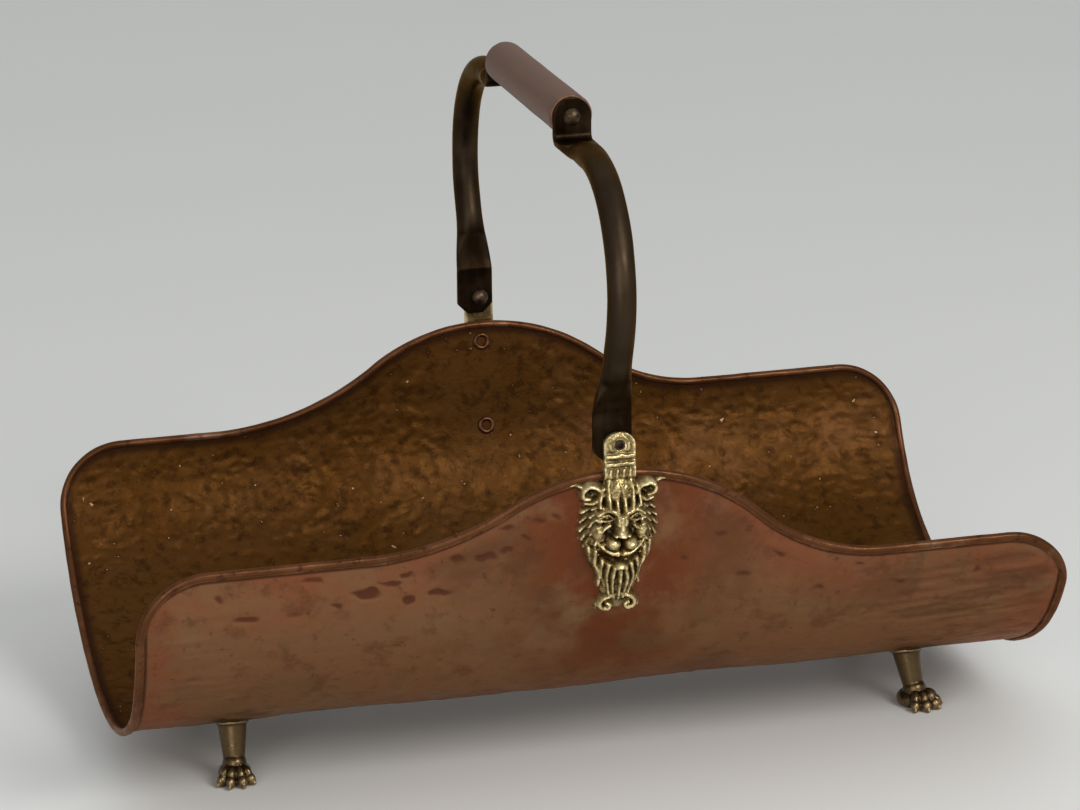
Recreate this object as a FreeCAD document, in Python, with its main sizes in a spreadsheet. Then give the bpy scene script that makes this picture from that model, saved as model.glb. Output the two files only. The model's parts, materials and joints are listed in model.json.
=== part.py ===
import FreeCAD, Part
import math
import os
from types import SimpleNamespace
from FreeCAD import Placement, Rotation, Vector

# Copper log basket: a U-shaped sheet trough on four paw feet, with a swinging handle that is
# riveted to two lion masks. X runs along the basket, +Y to its back, +Z up, and the origin is on
# the floor under its middle. All sizes are in millimetres and degrees.

SIZES = {
    # Trough: copper sheet, its section given by radii at the middle of the sheet's thickness
    "basket_length": 540.0,
    "sheet_thickness": 1.2,
    "ground_clearance": 26.0,
    "bottom_radius": 210.0,
    "bottom_half_angle": 30.0,
    "side_radius": 112.0,
    "wall_lean": 7.0,
    # Rim: heights from the trough's underside to the top of the rolled edge. The hand-made sheet
    # is uneven, so each corner has its own shoulder and its own run out of the hump.
    "hump_height": 171.0,
    "hump_radius": 120.0,
    "front_left_shoulder": 133.0,
    "front_left_reach": 142.0,
    "front_right_shoulder": 109.0,
    "front_right_reach": 158.0,
    "back_left_shoulder": 117.0,
    "back_left_reach": 172.0,
    "back_right_shoulder": 123.5,
    "back_right_reach": 138.0,
    "corner_radius": 38.0,
    "rim_diameter": 5.5,
    "wire_diameter": 3.4,
    # Lion masks and the tabs that carry the handle
    "mask_width": 47.0,
    "mask_drop": 84.0,
    "mask_depth": 17.0,
    "mask_edge": 3.5,
    "tab_width": 17.5,
    "tab_thickness": 4.0,
    "tab_ridge_diameter": 3.0,
    "tab_ridge_drop": 6.3,
    "tab_ridge_pitch": 4.5,
    "pivot_rise": 15.3,
    # Pivot rivets
    "pivot_diameter": 6.0,
    "pivot_head_diameter": 10.5,
    "pivot_head_height": 3.6,
    "pivot_dimple_diameter": 4.4,
    "pivot_dimple_depth": 3.0,
    # Hollow rivets that hold the masks, measured down from the top of the hump
    "mask_rivet_diameter": 7.5,
    "mask_rivet_bore": 5.2,
    "mask_rivet_curl_diameter": 11.0,
    "mask_rivet_curl_height": 1.4,
    "mask_rivet_grip": 4.0,
    "upper_rivet_drop": 13.0,
    "lower_rivet_drop": 66.0,
    # Handle arms: tube, flattened at both ends. The lower and upper tube are the straight runs on
    # either side of the bend, and each flare takes up what is left to its flat.
    "arm_diameter": 16.0,
    "arm_wall": 1.5,
    "arm_half_span": 190.0,
    "arm_top_rise": 151.0,
    "arm_bend_radius": 65.0,
    "flat_width": 22.0,
    "flat_thickness": 3.5,
    "flat_below_pivot": 10.0,
    "flat_above_pivot": 18.0,
    "flat_corner": 6.0,
    "pivot_offset": 3.0,
    "lower_tube": 17.5,
    "upper_tube": 8.0,
    "strap_length": 6.0,
    "fold_radius": 5.0,
    # Grip and its screws
    "grip_diameter": 25.0,
    "grip_length": 160.0,
    "grip_rise": 165.0,
    "grip_bevel": 1.2,
    "grip_screw_diameter": 5.0,
    "grip_screw_length": 34.0,
    "grip_screw_head_diameter": 10.0,
    "grip_screw_head_height": 2.8,
    "grip_screw_slot_width": 1.4,
    "grip_screw_slot_depth": 1.5,
    # Feet: where each is fixed under the sheet, and the cast paw
    "foot_inset": 67.0,
    "foot_y": 56.0,
    "leg_reach": 9.0,
    "paw_turn": 25.0,
    "front_left_turn": 6.0,
    "leg_top_diameter": 18.0,
    "leg_ankle_diameter": 13.0,
    "flange_diameter": 21.0,
    "flange_thickness": 1.6,
    "paw_width": 26.0,
    "paw_length": 30.0,
    "paw_height": 13.0,
    "toe_width": 7.2,
    # Screws and washers that hold the feet, from inside the trough
    "foot_screw_diameter": 5.0,
    "foot_screw_length": 17.0,
    "foot_screw_head_diameter": 9.0,
    "foot_screw_head_height": 2.6,
    "foot_screw_slot_width": 1.3,
    "foot_screw_slot_depth": 1.3,
    "foot_washer_diameter": 15.0,
    "foot_washer_thickness": 1.2,
    # Clearances
    "running_clearance": 0.05,
    "swing_clearance": 0.3,
    "seat_gap": 0.1,
    "hole_clearance": 0.3,
}

# The lion's face as swellings on the mask: name, then centre across, down and out, then the
# half-sizes across, down and out. Across is in mask widths, down in drops, out in depths.
FACE = [
    ("forehead", 0.00, 0.20, 0.20, 0.30, 0.16, 0.50),
    ("face", 0.00, 0.40, 0.15, 0.34, 0.26, 0.50),
    ("bridge", 0.00, 0.35, 0.52, 0.085, 0.12, 0.36),
    ("nose", 0.00, 0.44, 0.74, 0.12, 0.045, 0.26),
    ("muzzle", 0.00, 0.52, 0.45, 0.20, 0.08, 0.44),
    ("chin", 0.00, 0.66, 0.30, 0.12, 0.05, 0.38),
    ("beard", 0.00, 0.80, 0.10, 0.15, 0.17, 0.38),
]
PAIRED_FACE = [
    ("ear", 0.385, 0.115, 0.10, 0.115, 0.075, 0.40),
    ("brow", 0.165, 0.26, 0.45, 0.15, 0.045, 0.34),
    ("cheek", 0.235, 0.44, 0.25, 0.15, 0.11, 0.42),
    ("mane_high", 0.405, 0.25, 0.10, 0.095, 0.10, 0.36),
    ("mane_middle", 0.41, 0.41, 0.10, 0.09, 0.11, 0.36),
    ("mane_low", 0.335, 0.57, 0.08, 0.11, 0.10, 0.34),
    ("whisker", 0.235, 0.69, 0.06, 0.10, 0.10, 0.32),
    ("curl", 0.125, 0.935, 0.08, 0.125, 0.06, 0.34),
]
# Where the toes stand across the paw, in toe widths from its middle
TOES = (-1.5, -0.5, 0.5, 1.5)
# Spans in which the rim rounds each end corner
CORNER_SPANS = 3
SIDES = {"front": -1, "back": 1}
ENDS = {"left": -1, "right": 1}
X_AXIS = Vector(1, 0, 0)
Y_AXIS = Vector(0, 1, 0)
Z_AXIS = Vector(0, 0, 1)

doc = FreeCAD.newDocument("log_basket")
sheet = doc.addObject("Spreadsheet::Sheet", "sizes")
for row, (alias, value) in enumerate(SIZES.items(), start=1):
    sheet.set(f"A{row}", alias)
    sheet.set(f"B{row}", str(value))
    sheet.setAlias(f"B{row}", alias)
doc.recompute()
size = SimpleNamespace(**{alias: float(sheet.get(alias)) for alias in SIZES})
finished = []


# Small helpers

def finish(item, label):
    """Give a finished sub-part its name and keep it for the export."""
    item.Label = label
    finished.append(item)


def primitive(kind, name, placement, **sizes):
    """A Part primitive whose sizes are expressions on the sheet."""
    item = doc.addObject(kind, name)
    for prop, expression in sizes.items():
        item.setExpression(prop, expression)
    item.Placement = placement
    return item


def solid_feature(name, shape):
    item = doc.addObject("Part::Feature", name)
    item.Shape = shape
    return item


def fused(name, items):
    item = doc.addObject("Part::MultiFuse", name)
    item.Shapes = items
    return item


def cut(name, base, *tools):
    """The base with each tool taken from it in turn."""
    for tool in tools:
        item = doc.addObject("Part::Cut", name)
        item.Base = base
        item.Tool = tool
        base = item
    return base


def mirrored(name, source, normal):
    """A copy of a piece, mirrored in the plane through the origin with the given normal."""
    item = doc.addObject("Part::Mirroring", name)
    item.Source = source
    item.Normal = normal
    return item


def along(direction, origin):
    """Placement whose local Z points along a direction."""
    return Placement(origin, Rotation(Z_AXIS, direction))


def side_turn(side):
    """Placement that carries a piece made for the back to the given side."""
    return Placement(Vector(), Rotation(Z_AXIS, 0 if side > 0 else 180))


def outline(start, *steps):
    """Curves of a sketch: each step is a point for a line, or a (via, end) pair for an arc."""
    curves = []
    here = Vector(*start, 0)
    for step in steps:
        if isinstance(step[0], tuple):
            via, end = (Vector(*point, 0) for point in step)
            curves.append(Part.Arc(here, via, end))
        else:
            end = Vector(*step, 0)
            curves.append(Part.LineSegment(here, end))
        here = end
    return curves


def add_sketch(body, name, role, curves, height=0.0):
    sketch = body.newObject("Sketcher::SketchObject", name)
    plane = next(item for item in body.Origin.OriginFeatures if item.Role == role)
    sketch.AttachmentSupport = (plane, [""])
    sketch.MapMode = "FlatFace"
    sketch.AttachmentOffset = Placement(Vector(0, 0, height), Rotation())
    for curve in curves:
        sketch.addGeometry(curve, False)
    return sketch


def turned(name, curves, placement):
    """A turned piece: its half profile, radius by height, revolved about the local Z axis."""
    body = doc.addObject("PartDesign::Body", name)
    sketch = add_sketch(body, name + "_profile", "XZ_Plane", curves)
    turn = body.newObject("PartDesign::Revolution", name + "_turn")
    turn.Profile = sketch
    turn.ReferenceAxis = (sketch, ["V_Axis"])
    turn.Angle = 360
    body.Placement = placement
    return body


def dome(radius, height):
    """Via and end points of the arc over a domed head, from its edge to its top."""
    sphere = (radius ** 2 + height ** 2) / (2 * height)
    half_angle = math.asin(radius / sphere) / 2
    via = (sphere * math.sin(half_angle), height - sphere * (1 - math.cos(half_angle)))
    return via, (0, height)


def slotted_screw(name, prefix, placement):
    """A domed screw with its head's seat at the local origin and a slot on top."""
    radius = getattr(size, prefix + "_diameter") / 2
    length = getattr(size, prefix + "_length")
    head = getattr(size, prefix + "_head_diameter") / 2
    height = getattr(size, prefix + "_head_height")
    half_slot = getattr(size, prefix + "_slot_width") / 2
    tip = radius / 2
    body = turned(name, outline((0, -length), (tip, -length), (radius, tip - length), (radius, 0),
                                (head, 0), dome(head, height), (0, -length)), placement)
    slot = outline((-head, -half_slot), (head, -half_slot), (head, half_slot), (-head, half_slot),
                   (-head, -half_slot))
    pocket = body.newObject("PartDesign::Pocket", name + "_slot")
    pocket.Profile = add_sketch(body, name + "_slot_sketch", "XY_Plane", slot, height)
    pocket.setExpression("Length", f"sizes.{prefix}_slot_depth")
    return body


# Section of the trough, for its back half: a bottom arc, a side arc and a straight wall

def outward(angle):
    return Vector(0, math.sin(angle), -math.cos(angle))


def upward(angle):
    return Vector(0, math.cos(angle), math.sin(angle))


wall_angle = math.radians(90 - size.wall_lean)
bottom_angle = math.radians(size.bottom_half_angle)
bottom_center = Z_AXIS * (size.ground_clearance + size.sheet_thickness / 2 + size.bottom_radius)
side_center = bottom_center + outward(bottom_angle) * (size.bottom_radius - size.side_radius)
side_run = size.side_radius * (wall_angle - bottom_angle)
bottom_run = size.bottom_radius * bottom_angle


def section(run):
    """Point, upward and outward directions at a run along the sheet from the foot of the wall."""
    if run >= -side_run:
        angle = wall_angle + min(run, 0) / size.side_radius
        point = side_center + outward(angle) * size.side_radius + upward(angle) * max(run, 0)
    else:
        angle = bottom_angle + (run + side_run) / size.bottom_radius
        point = bottom_center + outward(angle) * size.bottom_radius
    return point, upward(angle), outward(angle)


def rim_run(height):
    """Run to the middle of the rolled edge whose top stands at a height over the underside."""
    middle = size.ground_clearance + height - size.rim_diameter / 2
    return (middle - section(0)[0].z) / math.sin(wall_angle)


hump_run = rim_run(size.hump_height)
rim_end = (size.basket_length - size.rim_diameter) / 2
hump_top = size.ground_clearance + size.hump_height
pivot_z = hump_top + size.pivot_rise
grip_z = pivot_z + size.grip_rise
tab_inner = section(hump_run)[0].y + size.rim_diameter / 2 + size.seat_gap


# Rim path: stations on the sheet joined by pairs of tangent arcs

def rim_station(x, run, dive):
    """Point and heading of the rim in the back right quarter."""
    point, up, _ = section(run)
    return Vector(x, point.y, point.z), X_AXIS * math.cos(dive) - up * math.sin(dive)


def side_stations(shoulder, reach):
    """The rim from the top of the hump to the end corner, as it would run at the back right."""
    shoulder_run = rim_run(shoulder)
    dive = 2 * math.atan((hump_run - shoulder_run) / reach)
    slope_x = size.hump_radius * math.sin(dive)
    slope_run = hump_run - size.hump_radius * (1 - math.cos(dive))
    stations = [rim_station(0, hump_run, 0), rim_station(slope_x, slope_run, dive),
                rim_station(reach, shoulder_run, 0)]
    for step in range(CORNER_SPANS + 1):
        turn = math.pi / 2 * step / CORNER_SPANS
        x = rim_end - size.corner_radius * (1 - math.sin(turn))
        run = shoulder_run - size.corner_radius * (1 - math.cos(turn))
        stations.append(rim_station(x, run, turn))
    return stations


def end_stations():
    """The rim on down the end, to the middle of the trough."""
    return [rim_station(rim_end, run, math.pi / 2) for run in (-side_run, -side_run - bottom_run)]


def arc_from(start, heading, end):
    """Start, via and end points of the arc that leaves start along a heading."""
    chord = end - start
    way = Vector(chord).normalize()
    bulge = heading - way * heading.dot(way)
    via = (start + end) / 2
    if bulge.Length > 1e-6:
        half_turn = math.atan2(bulge.Length, heading.dot(way))
        via += bulge.normalize() * (chord.Length / 2 * math.tan(half_turn / 2))
    return start, via, end


def tangent_arcs(first, second):
    """Two arcs that join two stations and meet with one tangent."""
    (start, leaving), (end, arriving) = first, second
    chord = end - start
    turn = 1 - leaving.dot(arriving)
    reach = chord.dot(leaving + arriving)
    if turn > 1e-9:
        arm = (math.sqrt(reach ** 2 + 2 * turn * chord.dot(chord)) - reach) / (2 * turn)
    else:
        arm = chord.dot(chord) / (2 * reach)
    middle = (start + end + (leaving - arriving) * arm) / 2
    back = arc_from(end, arriving * -1, middle)
    return [arc_from(start, leaving, middle), (back[2], back[1], back[0])]


def curve(start, via, end):
    """An arc through three points, or a line where they are in line."""
    if (via - (start + end) / 2).Length < 1e-6:
        return Part.LineSegment(start, end)
    return Part.Arc(start, via, end)


def rim_arcs(side_word, end_word, whole):
    """Arcs of one quarter of the rim, to the end corner or whole to the middle of the end."""
    shoulder = getattr(size, f"{side_word}_{end_word}_shoulder")
    reach = getattr(size, f"{side_word}_{end_word}_reach")
    stations = side_stations(shoulder, reach) + (end_stations() if whole else [])

    def placed(vector):
        return Vector(ENDS[end_word] * vector.x, SIDES[side_word] * vector.y, vector.z)

    stations = [(placed(point), placed(heading)) for point, heading in stations]
    return [arc for pair in zip(stations, stations[1:]) for arc in tangent_arcs(*pair)]


def rim_pipe(radius):
    """A round bar all along the rim's path."""
    quarters = []
    for side_word in SIDES:
        for end_word in ENDS:
            arcs = rim_arcs(side_word, end_word, True)
            path = Part.Wire([curve(*arc).toShape() for arc in arcs])
            profile = Part.Wire(Part.Circle(arcs[0][0], X_AXIS, radius).toShape())
            quarters.append(path.makePipeShell([profile], True, False))
    return quarters[0].fuse(quarters[1:]).removeSplitter()


# Trough

def trough_section():
    """Closed section of the sheet, from one wall's top round the bottom to the other's."""
    half = size.sheet_thickness / 2
    runs = [hump_run + size.rim_diameter, 0, -side_run / 2, -side_run, -side_run - bottom_run]

    def at(run, offset, side):
        point, _, out = section(run)
        point = point + out * offset
        return (side * point.y, point.z)

    def u_steps(offset, side):
        top, foot, side_middle, side_end, bottom = (at(run, offset, side) for run in runs)
        other_end = (-side_end[0], side_end[1])
        other_middle = (-side_middle[0], side_middle[1])
        other_foot = (-foot[0], foot[1])
        return [top, foot, (side_middle, side_end), (bottom, other_end),
                (other_middle, other_foot), (-top[0], top[1])]

    outer = u_steps(half, 1)
    inner = u_steps(-half, -1)
    return outline(outer[0], *outer[1:], inner[0], *inner[1:], outer[0])


def rim_cut(side_word):
    """What is cut from one side of the bent sheet, above the rim, seen from the front."""
    left = [(arc[2], arc[1], arc[0]) for arc in reversed(rim_arcs(side_word, "left", False))]
    arcs = left + rim_arcs(side_word, "right", False)
    curves = [curve(*(Vector(point.x, point.z, 0) for point in arc)) for arc in arcs]
    first = (arcs[0][0].x, arcs[0][0].z)
    last = (arcs[-1][2].x, arcs[-1][2].z)
    beyond = rim_end + size.rim_diameter
    above = hump_top + 2 * size.rim_diameter
    return curves + outline(last, (beyond, last[1]), (beyond, above), (-beyond, above),
                            (-beyond, first[1]), first)


def bent_sheet():
    body = doc.addObject("PartDesign::Body", "bent_sheet")
    pad = body.newObject("PartDesign::Pad", "sheet_pad")
    pad.Profile = add_sketch(body, "sheet_section", "YZ_Plane", trough_section())
    pad.SideType = "Symmetric"
    pad.setExpression("Length", "sizes.basket_length - sizes.rim_diameter")
    for side_word, side in SIDES.items():
        pocket = body.newObject("PartDesign::Pocket", f"{side_word}_rim")
        pocket.Profile = add_sketch(body, f"{side_word}_rim_outline", "XZ_Plane", rim_cut(side_word))
        pocket.Type = "ThroughAll"
        pocket.Reversed = side < 0
    return body


def wall_frame(drop):
    """Frame on the back wall's outer face, a drop below the hump's top: across, up and out."""
    point, up, out = section(hump_run + size.rim_diameter / 2 - drop)
    origin = point + out * (size.sheet_thickness / 2)
    return Placement(origin, Rotation(X_AXIS * -1, up, out, "ZYX"))


def foot_seat(end, side):
    """Point at the middle of the sheet over a foot, and the direction out of the trough."""
    angle = math.asin(size.foot_y / size.bottom_radius)
    point = bottom_center + outward(angle) * size.bottom_radius
    out = outward(angle)
    x = end * (size.basket_length / 2 - size.foot_inset)
    return Vector(x, side * point.y, point.z), Vector(0, side * out.y, out.z)


def trough():
    rolled = fused("rolled_sheet", [bent_sheet(), solid_feature("rim_roll", rim_pipe(size.rim_diameter / 2))])
    bore = solid_feature("wire_bore", rim_pipe(size.wire_diameter / 2 + size.seat_gap))
    through = "4 * sizes.sheet_thickness"
    holes = []
    start = Placement(Z_AXIS * (-2 * size.sheet_thickness), Rotation())
    for side in SIDES.values():
        for drop in (size.upper_rivet_drop, size.lower_rivet_drop):
            place = side_turn(side) * wall_frame(drop) * start
            holes.append(primitive("Part::Cylinder", "rivet_hole", place, Height=through,
                                   Radius="sizes.mask_rivet_diameter / 2 + sizes.running_clearance"))
        for end in ENDS.values():
            point, out = foot_seat(end, side)
            holes.append(primitive("Part::Cylinder", "foot_hole", along(out, point) * start, Height=through,
                                   Radius="sizes.foot_screw_diameter / 2 + sizes.hole_clearance"))
    finish(cut("trough", rolled, bore, fused("trough_holes", holes)), "copper_trough")
    finish(solid_feature("wire", rim_pipe(size.wire_diameter / 2)), "edge_wire")


# Lion masks with their tabs and rivets

def mask_outline():
    """Shield shape of the mask, in the wall frame at the top of the hump."""
    half = size.mask_width / 2
    neck = size.tab_width / 2
    shares = [
        ((0.74, 0.02), (0.97, 0.11)),
        ((1.00, 0.30), (0.82, 0.55)),
        ((0.54, 0.72), (0.42, 0.86)),
        ((0.56, 0.94), (0.34, 1.00)),
        ((0.16, 0.985), (0.00, 0.97)),
    ]
    right = [tuple((across * half, -down * size.mask_drop) for across, down in pair) for pair in shares]
    points = [(neck, 0)] + [point for pair in right for point in pair]
    other = [(-across, down) for across, down in reversed(points)]
    left = list(zip(other[1::2], other[2::2]))
    return outline(points[0], *right, *left, points[0])


def mask_relief():
    """The plate of the back mask and the swellings of the face on it."""
    frame = wall_frame(0)
    plate = doc.addObject("PartDesign::Body", "mask_plate")
    pad = plate.newObject("PartDesign::Pad", "mask_pad")
    pad.Profile = add_sketch(plate, "mask_outline", "XY_Plane", mask_outline())
    pad.setExpression("Length", "sizes.mask_edge")
    plate.Placement = frame
    items = [plate]
    swellings = list(FACE)
    for name, across, *rest in PAIRED_FACE:
        swellings += [(name, across, *rest), (name, -across, *rest)]
    for name, across, down, out, wide, tall, deep in swellings:
        center = Vector(across * size.mask_width, -down * size.mask_drop, out * size.mask_depth)
        items.append(primitive("Part::Ellipsoid", name, frame * Placement(center, Rotation()),
                               Radius1=f"sizes.mask_depth * {deep}",
                               Radius2=f"sizes.mask_width * {wide}",
                               Radius3=f"sizes.mask_drop * {tall}"))
    return items


def tab():
    """The tab above the rim: an upright plate with a round top and two ridges across it."""
    foot = Vector(-size.tab_width / 2, tab_inner, hump_top - size.mask_drop / 4)
    plate = primitive("Part::Box", "tab_plate", Placement(foot, Rotation()),
                      Length="sizes.tab_width", Width="sizes.tab_thickness")
    plate.Height = pivot_z - foot.z
    top = primitive("Part::Cylinder", "tab_top", along(Y_AXIS, Vector(0, tab_inner, pivot_z)),
                    Radius="sizes.tab_width / 2", Height="sizes.tab_thickness")
    items = [plate, top]
    for index in range(2):
        z = pivot_z - size.tab_ridge_drop - index * size.tab_ridge_pitch
        start = Vector(-size.tab_width / 2, tab_inner + size.tab_thickness, z)
        items.append(primitive("Part::Cylinder", "tab_ridge", along(X_AXIS, start),
                               Radius="sizes.tab_ridge_diameter / 2", Height="sizes.tab_width"))
    return items


def mask_cuts():
    """What the casting leaves free: the wall, the rim, the arm's side of the tab and the rivets."""
    wall_start = Vector(-size.mask_width, -2 * size.mask_drop, -size.mask_depth)
    wall = primitive("Part::Box", "wall_side", wall_frame(0) * Placement(wall_start, Rotation()),
                     Length="2 * sizes.mask_width", Width="3 * sizes.mask_drop",
                     Height="sizes.mask_depth")
    arm_start = Vector(-size.mask_width, tab_inner - size.mask_depth, hump_top - size.rim_diameter / 2)
    arm_side = primitive("Part::Box", "arm_side", Placement(arm_start, Rotation()),
                         Length="2 * sizes.mask_width", Width="sizes.mask_depth",
                         Height="3 * sizes.pivot_rise")
    rim_room = solid_feature("rim_room", rim_pipe(size.rim_diameter / 2 + size.seat_gap))
    pivot_start = Vector(0, tab_inner - size.tab_thickness, pivot_z)
    pivot = primitive("Part::Cylinder", "tab_hole", along(Y_AXIS, pivot_start),
                      Radius="sizes.pivot_diameter / 2 + sizes.running_clearance",
                      Height="3 * sizes.tab_thickness")
    start = Placement(Z_AXIS * -size.seat_gap, Rotation())
    sockets = [primitive("Part::Cylinder", "rivet_socket", wall_frame(drop) * start,
                         Radius="sizes.mask_rivet_diameter / 2 + sizes.running_clearance",
                         Height="sizes.mask_rivet_grip + 2 * sizes.seat_gap")
               for drop in (size.upper_rivet_drop, size.lower_rivet_drop)]
    return [wall, arm_side, rim_room, pivot, *sockets]


def masks():
    casting = fused("mask_casting", mask_relief() + tab())
    back = cut("mask", casting, *mask_cuts())
    finish(back, "lion_mask_back")
    finish(mirrored("front_mask", back, Y_AXIS), "lion_mask_front")


def mask_rivets():
    shank = size.mask_rivet_diameter / 2
    bore = size.mask_rivet_bore / 2
    curl = size.mask_rivet_curl_diameter / 2
    length = size.sheet_thickness + size.mask_rivet_grip
    crown = ((curl + bore) / 2, size.mask_rivet_curl_height)
    profile = outline((bore, -length), (shank, -length), (shank, 0), (curl, 0), (crown, (bore, 0)),
                      (bore, -length))

    def inside(drop):
        """Where a rivet's head seats, a little off the sheet's middle where the sheet is hollow."""
        on_curve = hump_run + size.rim_diameter / 2 - drop < curl
        lift = curl ** 2 / (2 * size.side_radius) + size.running_clearance if on_curve else 0
        return Placement(Z_AXIS * -(size.sheet_thickness + lift), Rotation(X_AXIS, 180))

    for word, side in SIDES.items():
        for level, drop in (("upper", size.upper_rivet_drop), ("lower", size.lower_rivet_drop)):
            label = f"mask_rivet_{word}_{level}"
            place = side_turn(side) * wall_frame(drop) * inside(drop)
            finish(turned(label, profile, place), label)


def pivot_rivets():
    shank = size.pivot_diameter / 2
    head = size.pivot_head_diameter / 2
    dimple = size.pivot_dimple_diameter / 2
    length = size.tab_thickness + size.flat_thickness + 2 * size.swing_clearance
    bottom = size.pivot_dimple_depth - length
    profile = outline((dimple, -length), (shank, -length), (shank, 0), (head, 0),
                      dome(head, size.pivot_head_height), (0, bottom), (dimple, bottom), (dimple, -length))
    seat = Vector(0, tab_inner - size.flat_thickness - 2 * size.swing_clearance, pivot_z)
    for word, side in SIDES.items():
        label = f"pivot_rivet_{word}"
        finish(turned(label, profile, side_turn(side) * along(Y_AXIS * -1, seat)), label)


# Handle

def ring(center, thick_axis, corners):
    """Closed wire of four edges: lines between corners, or arcs where a radius is given."""
    wide, thick, radius = corners
    points = [center + X_AXIS * (a * wide) + thick_axis * (b * thick)
              for a, b in ((-1, 1), (1, 1), (1, -1), (-1, -1), (-1, 1))]
    if not radius:
        return Part.makePolygon(points)
    vias = [center + direction * radius for direction in (thick_axis, X_AXIS, thick_axis * -1, X_AXIS * -1)]
    return Part.Wire([Part.Arc(points[i], vias[i], points[i + 1]).toShape() for i in range(4)])


def flat_ring(center, thick_axis):
    return ring(center, thick_axis, (size.flat_width / 2, size.flat_thickness / 2, 0))


def round_ring(center, thick_axis, radius):
    corner = radius * math.sqrt(0.5)
    return ring(center, thick_axis, (corner, corner, radius))


def lower_flat(flat_y):
    """The flattened end on the pivot, with its lower corners cut off."""
    half = size.flat_width / 2
    low = pivot_z - size.flat_below_pivot
    high = pivot_z + size.flat_above_pivot
    corner = size.flat_corner
    y = flat_y - size.flat_thickness / 2
    points = [(-half, high), (-half, low + corner), (corner - half, low), (half - corner, low),
              (half, low + corner), (half, high), (-half, high)]
    face = Part.Face(Part.makePolygon([Vector(x, y, z) for x, z in points]))
    return face.extrude(Y_AXIS * size.flat_thickness)


def end_plate(strap_y, strap_z, plate_y):
    """The upper flat: a strap that folds up into the plate at the grip's end."""
    half = size.flat_thickness / 2
    fold = size.fold_radius
    slant = math.sqrt(0.5)
    fold_y = plate_y + fold
    fold_z = strap_z + fold

    def on_fold(radius):
        return (fold_y - radius * slant, fold_z - radius * slant)

    curves = outline(
        (strap_y, strap_z - half), (fold_y, strap_z - half),
        (on_fold(fold + half), (plate_y - half, fold_z)), (plate_y - half, grip_z),
        (plate_y + half, grip_z), (plate_y + half, fold_z),
        (on_fold(fold - half), (fold_y, strap_z + half)), (strap_y, strap_z + half),
        (strap_y, strap_z - half))
    wire = Part.Wire([item.toShape() for item in curves])
    wire.Placement = Placement(X_AXIS * (-size.flat_width / 2),
                               Rotation(Y_AXIS, Z_AXIS, X_AXIS, "ZXY"))
    strap = Part.Face(wire).extrude(X_AXIS * size.flat_width)
    top_start = Vector(0, plate_y - half, grip_z)
    top = Part.makeCylinder(size.flat_width / 2, size.flat_thickness, top_start, Y_AXIS)
    return strap.fuse(top)


def arm_shape(side):
    """An arm as it stands at the back: flat, flare, bent tube, flare and folded end plate.

    It is hollow between the flares, and leans a little so that the rivet is off the flat's middle.
    """
    flat_y = tab_inner - size.swing_clearance - size.flat_thickness / 2
    plate_y = size.grip_length / 2 + size.flat_thickness / 2
    strap_y = plate_y + size.fold_radius + size.strap_length
    strap_z = pivot_z + size.arm_top_rise
    bend = size.arm_bend_radius
    flat_top = Vector(0, flat_y, pivot_z + size.flat_above_pivot)
    bend_center = Vector(0, size.arm_half_span - bend, strap_z - bend)
    to_center = bend_center - flat_top
    tilt = math.atan2(to_center.y, to_center.z) + math.asin(bend / to_center.Length)
    rising = Vector(0, math.sin(tilt), math.cos(tilt))
    across = Vector(0, math.cos(tilt), -math.sin(tilt))
    middle = (math.pi / 2 - tilt) / 2
    bend_start = bend_center + across * bend
    tube_start = bend_start - rising * size.lower_tube
    bend_middle = bend_center + Vector(0, math.cos(middle), math.sin(middle)) * bend
    bend_end = bend_center + Z_AXIS * bend
    tube_end = bend_end - Y_AXIS * size.upper_tube
    path = Part.Wire([Part.LineSegment(tube_start, bend_start).toShape(),
                      Part.Arc(bend_start, bend_middle, bend_end).toShape(),
                      Part.LineSegment(bend_end, tube_end).toShape()])

    def tube(radius):
        return path.makePipeShell([round_ring(tube_start, across, radius)], True, False)

    radius = size.arm_diameter / 2
    lower_flare = Part.makeLoft([flat_ring(flat_top, Y_AXIS), round_ring(tube_start, across, radius)], True)
    upper_flare = Part.makeLoft([round_ring(tube_end, Z_AXIS, radius),
                                 flat_ring(Vector(0, strap_y, strap_z), Z_AXIS)], True)
    solid = lower_flat(flat_y).fuse([lower_flare, tube(radius), upper_flare,
                                     end_plate(strap_y, strap_z, plate_y)]).removeSplitter()
    solid = solid.cut(tube(radius - size.arm_wall))
    lean = math.degrees(math.asin(size.pivot_offset / size.grip_rise))
    solid.rotate(Z_AXIS * grip_z, Y_AXIS, side * lean)
    pivot_hole = Part.makeCylinder(size.pivot_diameter / 2 + size.running_clearance, 2 * size.flat_thickness,
                                   Vector(0, flat_y - size.flat_thickness, pivot_z), Y_AXIS)
    screw_hole = Part.makeCylinder(size.grip_screw_diameter / 2 + size.running_clearance,
                                   2 * size.flat_thickness,
                                   Vector(0, plate_y - size.flat_thickness, grip_z), Y_AXIS)
    return solid.cut([pivot_hole, screw_hole])


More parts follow.
